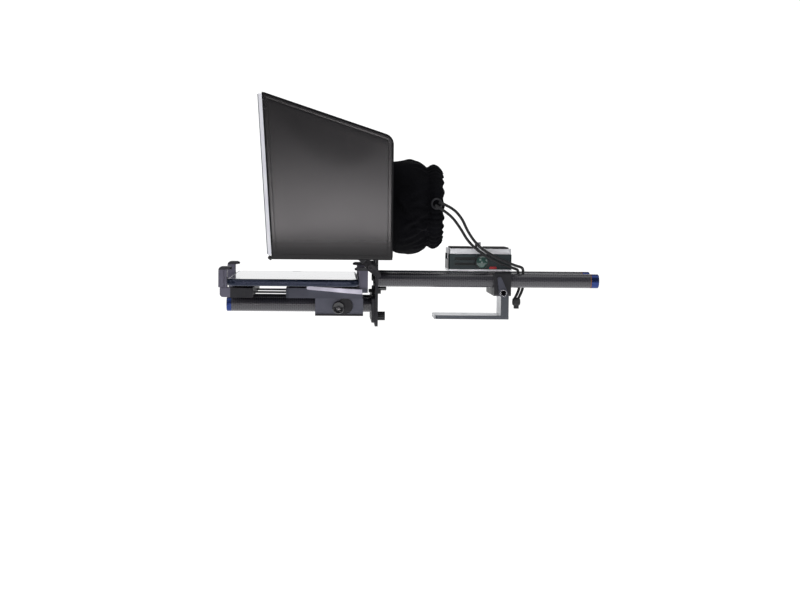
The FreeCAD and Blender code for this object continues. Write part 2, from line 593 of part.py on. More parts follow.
def make_jaw(tips):
    carrier = block(JAW_X, (-JAW_Y - 4, JAW_Y + 4), JAW_Z)
    carrier = round_along(carrier, V(0, 1, 0), 1.5, lambda p: p.x > JAW_X[0] + 1)
    bar = block(BAR_X, BAR_Y, BAR_Z)
    bars = both(bar)
    for piece in bars:
        carrier = carrier.cut(piece)
    pad = block((JAW_X[0] + 4, JAW_X[1] - 7), (-64.0, 64.0), (JAW_Z[1], TABLET_Z[0] - 0.1))
    save("jaw_carrier", carrier)
    save("slider_bars", bars)
    save("jaw_rubber_pads", [pad] + tips)


def make_tablet():
    low, high = TABLET_Z
    shell = block(TABLET_X, (-TABLET_Y, TABLET_Y), (low, high))
    shell = round_along(shell, V(0, 0, 1), 9.0)
    edges = [e for e in shell.Edges if abs(e.BoundBox.ZMin - e.BoundBox.ZMax) < 1e-6]
    shell = shell.makeFillet(2.6, edges)
    rim = 3.0
    glass_x = (TABLET_X[0] + rim, TABLET_X[1] - rim)
    glass = block(glass_x, (-TABLET_Y + rim, TABLET_Y - rim), (high - TABLET_GLASS, high))
    glass = round_along(glass, V(0, 0, 1), 7.0)
    shell = shell.cut(glass)
    mid_x = (TABLET_X[0] + TABLET_X[1]) / 2
    button_y = TABLET_Y - 10.0
    well = cyl_z(mid_x, button_y, (high - 2.6, high + 1), HOME_BUTTON_R + RUN)
    shell = shell.cut(well)
    glass = glass.cut(well)
    button = cyl_z(mid_x, button_y, (high - 1.9, high - 0.1), HOME_BUTTON_R)
    save("tablet_shell", shell)
    save("tablet_glass", glass)
    save("tablet_home_button", button)


# ---- Mirror frame, built flat and tilted to 45 degrees --------------------------------------
def tilted(shape):
    """Turns a flat shape (length along -X, face up) by 45 degrees and puts it at the pivot."""
    shape = shape.copy()
    shape.rotate(V(0, 0, 0), V(0, 1, 0), 45.0)
    shape.translate(V(PIVOT_X, 0, PIVOT_Z))
    return shape


def make_mirror():
    half = BAR_THICK / 2
    groove = 4.0
    glass_x = (-MIRROR_END + groove, -MIRROR_START - groove)
    glass = block(glass_x, (-MIRROR_HALF + groove, MIRROR_HALF - groove), (-GLASS_THICK / 2, GLASS_THICK / 2))
    side = block((-MIRROR_END, -MIRROR_START), (MIRROR_HALF - BAR_WIDE, MIRROR_HALF), (-half, half)).cut(glass)
    end_y = (-MIRROR_HALF + BAR_WIDE, MIRROR_HALF - BAR_WIDE)
    low_end = block((-MIRROR_START - BAR_WIDE, -MIRROR_START), end_y, (-half, half))
    high_end = block((-MIRROR_END, -MIRROR_END + BAR_WIDE), end_y, (-half, half)).cut(glass)
    arm = teardrop((0, 0), ARM_EYE_R, (-MIRROR_START - 1, 0), ARM_END_R, ARM_Y)
    arm = arm.fuse(teardrop((0, 0), ARM_EYE_R, (ARM_TAIL, 0), ARM_END_R, ARM_Y)).removeSplitter()
    arm = arm.cut(low_end).cut(cyl_y(0, (ARM_Y[0] - 1, ARM_Y[1] + 1), 0, TILT_SCREW_R + RUN))
    low_end = low_end.cut(glass)
    pads = []
    for x in (-MIRROR_START - 20, -MIRROR_END + 20):
        pads += both(block((x - 9, x + 9), (MIRROR_HALF, HOOD_Y - PANEL), (-half, half)))
    save("mirror_glass", tilted(glass))
    save("mirror_frame_sides", [tilted(piece) for piece in both(side)])
    save("mirror_frame_ends", [tilted(low_end), tilted(high_end)])
    save("hinge_arms", [tilted(piece) for piece in both(arm)])
    save("hood_fastener_pads", [tilted(piece) for piece in pads])


# ---- Hood -----------------------------------------------------------------------------------
def hood_outline():
    return [HOOD_FRONT_LOW, HOOD_FRONT_TOP, HOOD_REAR_TOP, HOOD_REAR_LOW]


def make_hood():
    def at_rear_top(p):
        return abs(p.x - HOOD_REAR_TOP[0]) < 1 and p.z > 150

    side = extrude_xz(hood_outline(), (HOOD_Y - PANEL, HOOD_Y))
    side = round_along(side, V(0, 1, 0), HOOD_CORNER_R, at_rear_top)
    inside_y = (-HOOD_Y + PANEL, HOOD_Y - PANEL)
    outer = round_along(extrude_xz(hood_outline(), inside_y), V(0, 1, 0), HOOD_CORNER_R, at_rear_top)

    # The inner outline is the outer one moved in by the board, and run out past the open sides.
    slope = (HOOD_REAR_TOP[1] - HOOD_FRONT_TOP[1]) / (HOOD_REAR_TOP[0] - HOOD_FRONT_TOP[0])
    drop = PANEL * math.hypot(1, slope)
    inner_rear = HOOD_REAR_TOP[0] - PANEL
    inner_top = HOOD_REAR_TOP[1] - drop - slope * PANEL
    far_x = HOOD_FRONT_TOP[0] - 20
    far_z = HOOD_REAR_TOP[1] - drop + slope * (far_x - HOOD_REAR_TOP[0])
    inner = extrude_xz([(inner_rear, 40), (inner_rear, inner_top), (far_x, far_z), (far_x, 40)],
                       (inside_y[0] - 1, inside_y[1] + 1))
    inner = round_along(inner, V(0, 1, 0), HOOD_CORNER_R - PANEL,
                        lambda p: abs(p.x - inner_rear) < 1 and p.z > 150)
    sheet = outer.cut(inner)
    seam_z = 176.0
    above = block((-260, -60), (-130, 130), (seam_z, 260))
    top = sheet.common(above)
    rear = sheet.cut(above)
    hole = cyl_x((-90, -70), 0, LENS_Z, LENS_HOLE_R)
    rear = rear.cut(hole)

    lean = (HOOD_FRONT_TOP[0] - HOOD_FRONT_LOW[0]) / (HOOD_FRONT_TOP[1] - HOOD_FRONT_LOW[1])
    trim_top = HOOD_FRONT_TOP[1] - 2.0
    trim_low = HOOD_FRONT_LOW[1] + 4.0
    top_x = HOOD_FRONT_TOP[0] - 2.0 * lean
    low_x = HOOD_FRONT_LOW[0] + 4.0 * lean
    trim = extrude_xz([(low_x, trim_low), (top_x, trim_top), (top_x - TRIM_WIDE, trim_top),
                       (low_x - TRIM_WIDE, trim_low)], (HOOD_Y - PANEL - 0.5, HOOD_Y + 0.5))
    trim_axis = V(lean, 0, 1).normalize()
    trim = round_along(trim, trim_axis, 0.8, lambda p: p.x < (top_x + low_x) / 2 - 0.75 * TRIM_WIDE)
    ring = cyl_x((HOOD_REAR_LOW[0], HOOD_REAR_LOW[0] + 2.0), 0, LENS_Z, RING_R).cut(hole)
    save("hood_side_near", mirrored(side))
    save("hood_side_far", side)
    save("hood_top", top)
    save("hood_rear", rear)
    save("hood_front_trims", both(trim))
    save("shroud_ring", ring)


def make_shroud():
    outer = [V(x, 0, LENS_Z + r) for x, r in SHROUD_LINE]
    inner = [V(x, 0, LENS_Z + r - SHROUD_WALL) for x, r in reversed(SHROUD_LINE)]
    ring = outer + inner
    face = Part.Face(Part.makePolygon(ring + [ring[0]]))
    save("shroud", face.revolve(V(0, 0, LENS_Z), V(1, 0, 0), 360))


# ---- Drawcord of the shroud -----------------------------------------------------------------
# Each strand leaves the collar's near side, passes in front of the adapter, crosses over the
# near upper rod behind the clamp block and hangs down to the cord lock.
STRAND_LOW = [
    (-36.8, -48.6, 121.0), (-22.0, -47.5, 113.0), (-10.0, -45.8, 98.0), (-1.5, -44.3, 83.5),
    (11.0, -42.8, 72.5), (28.5, -41.2, 62.5), (43.5, -39.0, 56.8), (51.0, -32.5, 54.5),
    (54.0, -24.5, 53.0), (56.2, -18.0, 46.0), (57.2, -17.0, 38.0), (55.8, -17.1, 29.5),
    (51.6, -17.5, 22.0),
]
STRAND_HIGH = [
    (-33.0, -47.2, 124.5), (-19.5, -48.5, 119.5), (-8.5, -48.5, 108.0), (-2.5, -47.3, 94.5),
    (7.5, -45.8, 80.5), (20.5, -44.4, 70.8), (36.0, -42.5, 63.5), (49.0, -40.0, 58.5),
    (56.5, -33.5, 56.5), (59.3, -25.0, 54.5), (60.7, -17.8, 48.0), (61.0, -16.6, 39.0),
    (59.9, -16.9, 30.0), (55.4, -17.5, 22.0),
]


def cord_tube(node, route):
    """Round tube along straight runs and tangent arcs through the route's points."""
    points = [V(*p) for p in route]
    edges = []
    here = points[0]
    radii = []
    for i in range(1, len(points) - 1):
        before = (points[i] - points[i - 1])
        after = (points[i + 1] - points[i])
        short = min(before.Length, after.Length)
        before = before.normalize()
        after = after.normalize()
        half = math.acos(max(-1.0, min(1.0, before.dot(after)))) / 2
        r = 0.45 * short / math.tan(half)
        radii.append(r)
        start = points[i] - before * (0.45 * short)
        end = points[i] + after * (0.45 * short)
        to_centre = (after - before).normalize()
        middle = points[i] + to_centre * (r / math.cos(half) - r)
        edges.append(Part.LineSegment(here, start).toShape())
        edges.append(Part.Arc(start, middle, end).toShape())
        here = end
    edges.append(Part.LineSegment(here, points[-1]).toShape())
    path = Part.Wire(edges)
    profile = Part.Wire(Part.Circle(points[0], points[1] - points[0], CORD_R).toShape())
    tube = path.makePipeShell([profile], True, False)
    ratio = tube.Volume / (math.pi * CORD_R ** 2 * path.Length)
    print("%s length %.1f, volume ratio %.4f, radii" % (node, path.Length, ratio), [round(r, 1) for r in radii])
    save(node, tube.Solids[0])


def make_cord_lock():
    x, y = LOCK_AT
    body = cyl_z(x, y, LOCK_Z, LOCK_R)
    rims = [e for e in body.Edges if e.Curve.TypeId == "Part::GeomCircle"]
    body = body.makeFillet(1.2, rims)
    body = body.cut(cyl_z(x, y, (LOCK_Z[0] - 1, LOCK_Z[0] + 5), 2.8 + RUN))
    plunger = cyl_z(x, y, (LOCK_Z[0] - 3.0, LOCK_Z[0] + 2.8), 2.8)
    save("cord_lock_body", body)
    save("cord_lock_plunger", plunger)


make_base()
make_clamp_lever()
make_adapter()
make_adapter_controls()
make_camera_plate()
make_upper_rods()
make_front_plate()
make_lower_frame()
make_height_screws()
make_carriage()
make_rear_clips(make_tray())
make_jaw(make_front_clips())
make_tablet()
make_mirror()
make_hood()
make_shroud()
cord_tube("drawcord_low", STRAND_LOW)
cord_tube("drawcord_high", STRAND_HIGH)
make_cord_lock()
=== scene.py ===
import random
from math import atan2, cos, exp, hypot, pi, radians, sin, sqrt, tan

import bmesh
import bpy
from mathutils import Matrix, Vector


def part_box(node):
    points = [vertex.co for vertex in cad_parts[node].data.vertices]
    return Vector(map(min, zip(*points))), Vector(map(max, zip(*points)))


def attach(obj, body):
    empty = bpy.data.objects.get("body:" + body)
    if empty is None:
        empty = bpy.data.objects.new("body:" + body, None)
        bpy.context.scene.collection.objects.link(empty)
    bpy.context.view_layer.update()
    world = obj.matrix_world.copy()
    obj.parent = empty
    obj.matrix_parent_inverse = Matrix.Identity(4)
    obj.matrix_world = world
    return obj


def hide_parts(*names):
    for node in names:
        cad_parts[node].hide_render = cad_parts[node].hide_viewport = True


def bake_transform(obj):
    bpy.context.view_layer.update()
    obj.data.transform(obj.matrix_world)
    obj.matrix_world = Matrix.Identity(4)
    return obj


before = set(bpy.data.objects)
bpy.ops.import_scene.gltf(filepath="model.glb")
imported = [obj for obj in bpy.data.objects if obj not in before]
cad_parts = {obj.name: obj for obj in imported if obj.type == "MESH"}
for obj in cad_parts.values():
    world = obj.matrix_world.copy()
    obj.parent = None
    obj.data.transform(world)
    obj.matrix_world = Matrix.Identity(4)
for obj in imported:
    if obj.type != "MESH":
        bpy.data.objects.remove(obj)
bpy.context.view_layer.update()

random.seed(7)
MM = 0.001

# Places that the frame gives.
SIDE_LOW, SIDE_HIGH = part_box("hood_side_near")
SIDE_Y = abs(SIDE_LOW.y)       # the hood's outer faces, near and far
REAR_LOW, REAR_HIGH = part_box("hood_rear")
TOP_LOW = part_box("hood_top")[0]
RING_LOW, RING_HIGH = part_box("shroud_ring")
LENS_Z = (RING_LOW.z + RING_HIGH.z) / 2

# Sizes of details.
ROD_Y = 30 * MM
FLOOR_Z = -0.42
FLOOR_R = 2.2
KNOB_HEAD = 7.0 * MM           # length of the carriage knob's head
KNOB_RIM = 1.15 * MM           # how far its rim stands in front of its face
KNURL = 0.25 * MM
DARK_BAND = 2.0 * MM                 # height of the dark bands along the carriage's top and bottom edges; the bottom band is painted shade
BOSS_Y = 46.3 * MM             # from here out, the boss behind the carriage's knob
STITCH_PITCH = 3.2 * MM
STITCH_SHARE = 0.62            # of the pitch that the thread covers
STITCH_LIFT = 0.12 * MM        # of the thread's middle over the hem
THREAD_R = 0.28 * MM
SLEEVE_R = 46 * MM             # the shroud's middle radius, for its weave
DULL_REACH = 40 * MM           # how far up from the hood's foot its leatherette is duller
DULL_FOOT = 0.42               # and how much rougher it is at the foot


# ---- Camera ----
def make_camera():
    """The camera stands on the near side, 1.7 m away, a little behind the middle of the hood."""
    place = Vector((-0.1455, -1.700, 0.123))
    yaw = radians(2.53)
    pitch = radians(3.51)
    roll = radians(0.6)
    data = bpy.data.cameras.new("camera")
    data.lens = 71.1
    data.clip_start = 0.01
    camera = link(bpy.data.objects.new("camera", data))
    camera.location = place
    aim = Matrix.Rotation(-yaw, 3, "Z") @ Matrix.Rotation(pi / 2 - pitch, 3, "X")
    camera.rotation_euler = (aim @ Matrix.Rotation(roll, 3, "Z")).to_euler()
    bpy.context.scene.camera = camera


# ---- Mesh helpers ----
def link(thing):
    """Puts a new object into the scene."""
    bpy.context.scene.collection.objects.link(thing)
    return thing


def make_object(name, vertices, faces):
    """Mesh object with smooth shading."""
    mesh = bpy.data.meshes.new(name)
    mesh.from_pydata([tuple(v) for v in vertices], [], faces)
    mesh.validate()
    for polygon in mesh.polygons:
        polygon.use_smooth = True
    return link(bpy.data.objects.new(name, mesh))


def outward_normals(thing):
    """Turns all faces outwards."""
    fix = bmesh.new()
    fix.from_mesh(thing.data)
    bmesh.ops.recalc_face_normals(fix, faces=fix.faces)
    fix.to_mesh(thing.data)
    fix.free()


def grid_faces(rows, columns, offset=0, closed=False, flip=False):
    """Quads over rows x columns vertices. closed joins the last row to the first."""
    faces = []
    last = rows if closed else rows - 1
    for i in range(last):
        j = (i + 1) % rows
        for k in range(columns - 1):
            quad = (offset + i * columns + k, offset + j * columns + k,
                    offset + j * columns + k + 1, offset + i * columns + k + 1)
            faces.append(tuple(reversed(quad)) if flip else quad)
    return faces


def angles(count):
    """Equal steps round a turn."""
    return [2 * pi * i / count for i in range(count)]


def ring_faces(rings, sides, base=0, loop=False):
    """Quads between equal rings of vertices. The ends are closed, or joined to each other in a loop."""
    faces = []
    for i in range(rings if loop else rings - 1):
        here = base + i * sides
        there = base + (i + 1) % rings * sides
        for k in range(sides):
            n = (k + 1) % sides
            faces.append((here + k, here + n, there + n, there + k))
    if not loop:
        faces.append(tuple(reversed(range(base, base + sides))))
        faces.append(tuple(range(there, there + sides)))
    return faces


def turns_along(points):
    """Side and up vectors along a line, which turn as little as possible."""
    ends = points[:1] + points + points[-1:]
    tangents = [(after - before).normalized() for before, after in zip(ends, ends[2:])]
    up = tangents[0].orthogonal().normalized()
    result = []
    for tangent in tangents:
        up = (up - tangent * up.dot(tangent)).normalized()
        result.append((tangent.cross(up), up))
    return result


def tube_vertices(points, radius, sides, wave=None):
    """Rings of vertices round a line. wave(angle, distance) scales the radius."""
    vertices = []
    travelled = 0.0
    last = points[0]
    for point, (side, up) in zip(points, turns_along(points)):
        travelled += (point - last).length
        last = point
        for angle in angles(sides):
            r = radius * (wave(angle, travelled) if wave else 1)
            vertices.append(point + (side * cos(angle) + up * sin(angle)) * r)
    return vertices


def tube(name, points, radius, sides, wave=None):
    """Round tube with closed ends."""
    vertices = tube_vertices(points, radius, sides, wave)
    return make_object(name, vertices, ring_faces(len(points), sides))


def lathe(name, centre, axis, profile, sides, loop=False):
    """Turned piece from (distance along the axis, radius) in mm, with closed ends, or a ring from a loop."""
    axis = Vector(axis).normalized()
    side = axis.orthogonal().normalized()
    up = axis.cross(side)
    vertices = []
    for along, radius in profile:
        for angle in angles(sides):
            outward = side * cos(angle) + up * sin(angle)
            vertices.append(Vector(centre) + axis * (along * MM) + outward * (radius * MM))
    return make_object(name, vertices, ring_faces(len(profile), sides, loop=loop))


def join(name, things):
    """One object from several, keeping their materials."""
    base = things[0]
    with bpy.context.temp_override(active_object=base, object=base, selected_objects=things,
                                   selected_editable_objects=things):
        bpy.ops.object.join()
    base.name = name
    base.data.name = name
    return base


def set_material(thing, *materials):
    thing.data.materials.clear()
    for m in materials:
        thing.data.materials.append(m)
    return thing


def resample(points, step):
    """Points at equal steps along a polyline."""
    points = [Vector(p) for p in points]
    lengths = [0.0]
    for a, b in zip(points, points[1:]):
        lengths.append(lengths[-1] + (b - a).length)
    count = max(2, int(round(lengths[-1] / step)))
    result = []
    k = 0
    for i in range(count + 1):
        want = lengths[-1] * i / count
        while k < len(lengths) - 2 and lengths[k + 1] < want:
            k += 1
        share = (want - lengths[k]) / max(1e-9, lengths[k + 1] - lengths[k])
        result.append(points[k].lerp(points[k + 1], share))
    return result


def stitches(name, points, normal):
    """A row of short thread runs along a line, as one mesh."""
    line = resample(points, STITCH_PITCH)
    normal = Vector(normal).normalized()
    low = normal * THREAD_R * 0.9
    sides = 6
    vertices = []
    faces = []
    for a, b in zip(line, line[1:]):
        run = b - a
        start = a + run * (1 - STITCH_SHARE) / 2 + normal * STITCH_LIFT
        end = b - run * (1 - STITCH_SHARE) / 2 + normal * STITCH_LIFT
        third = (end - start) / 3
        row = [start - low, start + third * 0.6, end - third * 0.6, end - low]
        faces += ring_faces(len(row), sides, len(vertices))
        vertices += tube_vertices(row, THREAD_R, sides)
    return make_object(name, vertices, faces)


# ---- Materials ----
class Paint:
    """A Principled material with short calls for its texture nodes."""

    def __init__(self, name, colour, roughness, metallic=0.0, **sockets):
        self.material = bpy.data.materials.new(name)
        self.material.use_nodes = True
        self.tree = self.material.node_tree
        self.shader = self.tree.nodes["Principled BSDF"]
        sockets.update(Base_Color=(*colour, 1), Roughness=roughness, Metallic=metallic)
        for socket, value in sockets.items():
            self.shader.inputs[socket.replace("_", " ")].default_value = value
        self.height = None
        self.coordinates = self.node("ShaderNodeTexCoord").outputs["Object"]

    def node(self, kind, **settings):
        made = self.tree.nodes.new(kind)
        for key, value in settings.items():
            setattr(made, key, value)
        return made

    def link(self, source, target):
        self.tree.links.new(source, target)

    def noise(self, scale, detail=3.0, roughness=0.55, stretch=None):
        made = self.node("ShaderNodeTexNoise")
        made.inputs["Scale"].default_value = scale
        made.inputs["Detail"].default_value = detail
        made.inputs["Roughness"].default_value = roughness
        source = self.coordinates
        if stretch:
            mapping = self.node("ShaderNodeMapping")
            mapping.inputs["Scale"].default_value = stretch
            self.link(source, mapping.inputs["Vector"])
            source = mapping.outputs["Vector"]
        self.link(source, made.inputs["Vector"])
        return made.outputs["Fac"]

    def cells(self, scale):
        made = self.node("ShaderNodeTexVoronoi")
        made.inputs["Scale"].default_value = scale
        self.link(self.coordinates, made.inputs["Vector"])
        return made.outputs["Distance"]

    def wave(self, scale, direction):
        made = self.node("ShaderNodeTexWave", bands_direction=direction)
        made.inputs["Scale"].default_value = scale
        self.link(self.coordinates, made.inputs["Vector"])
        return made.outputs["Fac"]

    def fill(self, socket, value):
        """Gives a socket its number or colour, or links it to another node's output."""
        if isinstance(value, (int, float)):
            socket.default_value = value
        elif isinstance(value, tuple):
            socket.default_value = (*value, 1)
        elif value is not None:
            self.link(value, socket)

    def math(self, operation, a, b=None):
        made = self.node("ShaderNodeMath", operation=operation)
        self.fill(made.inputs[0], a)
        self.fill(made.inputs[1], b)
        return made.outputs[0]

    def plus(self, a, b):
        return self.math("ADD", a, b)

    def minus(self, a, b):
        return self.math("SUBTRACT", a, b)

    def times(self, a, b):
        return self.math("MULTIPLY", a, b)

    def spread(self, value, low, high, out_low=0.0, out_high=1.0):
        made = self.node("ShaderNodeMapRange")
        for key, number in (("From Min", low), ("From Max", high), ("To Min", out_low), ("To Max", out_high)):
            made.inputs[key].default_value = number
        self.link(value, made.inputs["Value"])
        return made.outputs["Result"]

    def mix(self, factor, first, second):
        made = self.node("ShaderNodeMix", data_type="RGBA")
        self.link(factor, made.inputs["Factor"])
        self.fill(made.inputs[6], first)
        self.fill(made.inputs[7], second)
        return made.outputs[2]

    def colour(self, value):
        self.link(value, self.shader.inputs["Base Color"])

    def rough(self, value):
        self.link(value, self.shader.inputs["Roughness"])

    def bump(self, value, strength, distance):
        made = self.node("ShaderNodeBump")
        made.inputs["Strength"].default_value = strength
        made.inputs["Distance"].default_value = distance
        self.link(value, made.inputs["Height"])
        if self.height:
            self.link(self.height, made.inputs["Normal"])
        self.height = made.outputs["Normal"]
        self.link(self.height, self.shader.inputs["Normal"])

    def place(self):
        split = self.node("ShaderNodeSeparateXYZ")
        self.link(self.coordinates, split.inputs[0])
        return split.outputs["X"], split.outputs["Y"], split.outputs["Z"]


def bare_metal(name, colour, roughness=0.36, brushed=None):
    """Bead-blasted or brushed aluminium."""
    paint = Paint(name, colour, roughness, 1.0)
    grain = paint.noise(900, 2.0, stretch=brushed)
    cloud = paint.noise(45, 3.0)
    paint.rough(paint.spread(cloud, 0.3, 0.7, roughness - 0.07, roughness + 0.08))
    darker = tuple(c * 0.86 for c in colour)
    paint.colour(paint.mix(paint.spread(cloud, 0.35, 0.7), colour, darker))
    paint.bump(grain, 0.12, 0.05 * MM)
    return paint.material


def satin_black(name, colour, roughness=0.42, metallic=0.35, scuff=0.35):
    """Black anodised or painted metal, with faint scuffs where hands reach it."""
    paint = Paint(name, colour, roughness, metallic)
    grain = paint.noise(1400, 2.0)
    cloud = paint.noise(60, 4.0)
    marks = paint.spread(paint.noise(160, 5.0, 0.7, stretch=(1, 1, 0.35)), 0.60, 0.78)
    lighter = tuple(c + 0.045 for c in colour)
    paint.colour(paint.mix(paint.times(marks, scuff), colour, lighter))
    paint.rough(paint.spread(cloud, 0.3, 0.7, roughness - 0.07, roughness + 0.10))
    paint.bump(grain, 0.15, 0.04 * MM)
    return paint.material


def moulded(name, colour, roughness=0.45, **sockets):
    """Moulded plastic with a fine spark-eroded skin."""
    paint = Paint(name, colour, roughness, **sockets)
    grain = paint.cells(1500)
    cloud = paint.noise(70, 3.0)
    paint.rough(paint.spread(cloud, 0.3, 0.7, roughness - 0.05, roughness + 0.07))
    paint.bump(grain, 0.10, 0.05 * MM)
    return paint.material


def carbon(name, axis_z):
    """Plain woven carbon fibre under satin lacquer, wrapped round tubes along X at +-ROD_Y."""
    paint = Paint(name, (0.02, 0.02, 0.024), 0.34, Coat_Weight=0.6, Coat_Roughness=0.16)
    tow = 2.0 * MM
    radius = 7.5 * MM
    x, y, z = paint.place()
    across = paint.minus(paint.math("ABSOLUTE", y), ROD_Y)
    above = paint.minus(z, axis_z)
    around = paint.times(paint.math("ARCTAN2", above, across), radius / tow)
    along = paint.times(x, 1 / tow)
    column = paint.math("FLOOR", along)
    row = paint.math("FLOOR", around)
    phase = paint.math("FLOORED_MODULO", paint.plus(column, row), 2.0)
    warp = paint.math("LESS_THAN", phase, 0.5)
    # Each tow swells in its middle and dips at its edges.
    swell_x = paint.math("SINE", paint.times(paint.math("FRACT", along), pi))
    swell_r = paint.math("SINE", paint.times(paint.math("FRACT", around), pi))
    fibres = paint.noise(500, 2.0, stretch=(1, 14, 14))
    height = paint.plus(paint.times(warp, swell_r), paint.times(paint.minus(1.0, warp), swell_x))
    tone = paint.plus(paint.times(warp, 0.75), paint.times(fibres, 0.35))
    paint.colour(paint.mix(tone, (0.034, 0.032, 0.039), (0.046, 0.044, 0.053)))
    paint.rough(paint.spread(height, 0.0, 1.0, 0.42, 0.24))
    paint.bump(height, 0.6, 0.16 * MM)
    return paint.material


def anodised(name, colour, roughness):
    """Dyed, turned aluminium with fine lathe rings along X."""
    paint = Paint(name, colour, roughness, 0.85)
    rings = paint.wave(420, "X")
    paint.rough(paint.spread(paint.noise(80), 0.3, 0.7, roughness - 0.06, roughness + 0.08))
    paint.bump(rings, 0.12, 0.05 * MM)
    return paint.material


def ribbed_rubber(name):
    paint = Paint(name, (0.014, 0.014, 0.015), 0.72)
    ribs = paint.wave(190, "Y")
    dust = paint.noise(220, 4.0)
    paint.colour(paint.mix(paint.spread(dust, 0.55, 0.8), (0.014, 0.014, 0.015), (0.035, 0.034, 0.033)))
    paint.bump(ribs, 0.5, 0.25 * MM)
    return paint.material


def leatherette(name):
    """Semi-gloss black leatherette: pebbled grain, faint scratches, and duller near the hood's foot."""
    base = (0.0060, 0.0055, 0.0062)
    worn = (0.0105, 0.0095, 0.0100)
    paint = Paint(name, base, 0.33, Specular_IOR_Level=0.50)
    pebble = paint.cells(700)
    large = paint.noise(9, 2.0, 0.4)
    scratch = paint.noise(90, 2.0, 0.5, stretch=(1.0, 1.0, 0.08))
    marks = paint.spread(scratch, 0.60, 0.80)
    paint.colour(paint.mix(paint.spread(large, 0.25, 0.75), base, worn))
    roughness = paint.spread(large, 0.2, 0.8, 0.180, 0.215)
    height = paint.place()[2]
    near_foot = paint.spread(height, SIDE_LOW.z, SIDE_LOW.z + DULL_REACH, 1.0, 0.0)
    dull = paint.times(paint.math("POWER", near_foot, 3.0), DULL_FOOT)
    roughness = paint.plus(roughness, dull)
    paint.rough(paint.plus(roughness, paint.times(marks, 0.02)))
    paint.bump(pebble, 0.07, 0.05 * MM)
    return paint.material


def cloth(name, colour, thread, sheen, roughness=0.92, specular=0.4):
    """Matte woven cloth: a plain weave from two crossing thread directions."""
    paint = Paint(name, colour, roughness, Sheen_Weight=sheen, Sheen_Roughness=0.5,
                  Specular_IOR_Level=specular)
    x, y, z = paint.place()
    warp = paint.math("SINE", paint.times(x, 2 * pi / thread))
    turn = paint.times(paint.math("ARCTAN2", y, paint.minus(z, LENS_Z)), SLEEVE_R)
    weft = paint.math("SINE", paint.times(turn, 2 * pi / thread))
    weave = paint.times(warp, weft)
    cloud = paint.noise(40, 4.0)
    lint = paint.spread(paint.noise(420, 3.0), 0.62, 0.80)
    lighter = tuple(c * 1.9 for c in colour)
    tone = paint.mix(paint.spread(cloud, 0.3, 0.7), colour, lighter)
    paint.colour(paint.mix(paint.times(lint, 0.35), tone, tuple(c * 3.2 for c in colour)))
    paint.bump(weave, 0.35, 0.12 * MM)
    return paint.material


def braid(name):
    """Braided cord, from two sets of slanted strands."""
    paint = Paint(name, (0.010, 0.010, 0.011), 0.70, Sheen_Weight=0.05)
    one = paint.noise(900, 2.0, stretch=(1, 0.3, 1))
    two = paint.cells(900)
    paint.colour(paint.mix(paint.spread(one, 0.4, 0.7), (0.007, 0.007, 0.008), (0.020, 0.020, 0.022)))
    paint.bump(two, 0.5, 0.25 * MM)
    return paint.material


def by_place(name, colour, other, roughness, metallic, choose):
    """Satin metal with a second tone where choose(paint, x, y, z) says 1; for the carriage's bottom band and
    the screw's socket, that tone is painted shade.
    """
    paint = Paint(name, colour, roughness, metallic)
    x, y, z = paint.place()
    cloud = paint.noise(60, 4.0)
    lighter = tuple(c * 1.25 for c in colour)
    tone = paint.mix(paint.spread(cloud, 0.3, 0.7), colour, lighter)
    paint.colour(paint.mix(choose(paint, x, y, z), tone, other))
    paint.rough(paint.spread(cloud, 0.3, 0.7, roughness - 0.06, roughness + 0.07))
    paint.bump(paint.noise(1200, 2.0), 0.12, 0.04 * MM)
    return paint.material


def from_middle(comparison, limit):
    """Chooser by the distance from the middle plane."""
    def choose(paint, x, y, z):
        return paint.math(comparison, paint.math("ABSOLUTE", y), limit)
    return choose


def carriage_shade_and_dark_parts(paint, x, y, z):
    """Dark bands along the carriage's top and bottom edges, and the dark boss behind its knob. The bottom
    band is painted shade along the block's lower edge.
    """
    low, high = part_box("carriage_block")
    # The bottom band is painted shade along the lower edge; the top band is a dark band just under the tray.
    dark_bands = paint.plus(paint.math("LESS_THAN", z, low.z + DARK_BAND),
                     paint.math("GREATER_THAN", z, high.z - DARK_BAND))
    boss = paint.math("GREATER_THAN", paint.math("ABSOLUTE", y), BOSS_Y)
    return paint.math("MINIMUM", paint.plus(dark_bands, boss), 1.0)


def socket_shade_of(node, radius):
    """Chooser for painted shade in the socket in the middle of a screw head whose axis runs along Y."""
    low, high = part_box(node)
    middle = (low + high) / 2

    def choose(paint, x, y, z):
        from_x = paint.minus(x, middle.x)
        from_z = paint.minus(z, middle.z)
        square = paint.plus(paint.times(from_x, from_x), paint.times(from_z, from_z))
        return paint.math("LESS_THAN", square, radius ** 2)
    return choose


def clip_tips(paint, x, y, z):
    """The clips' rubber-covered lips."""
    return paint.math("GREATER_THAN", z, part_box("front_clips")[1].z - 3.4 * MM)


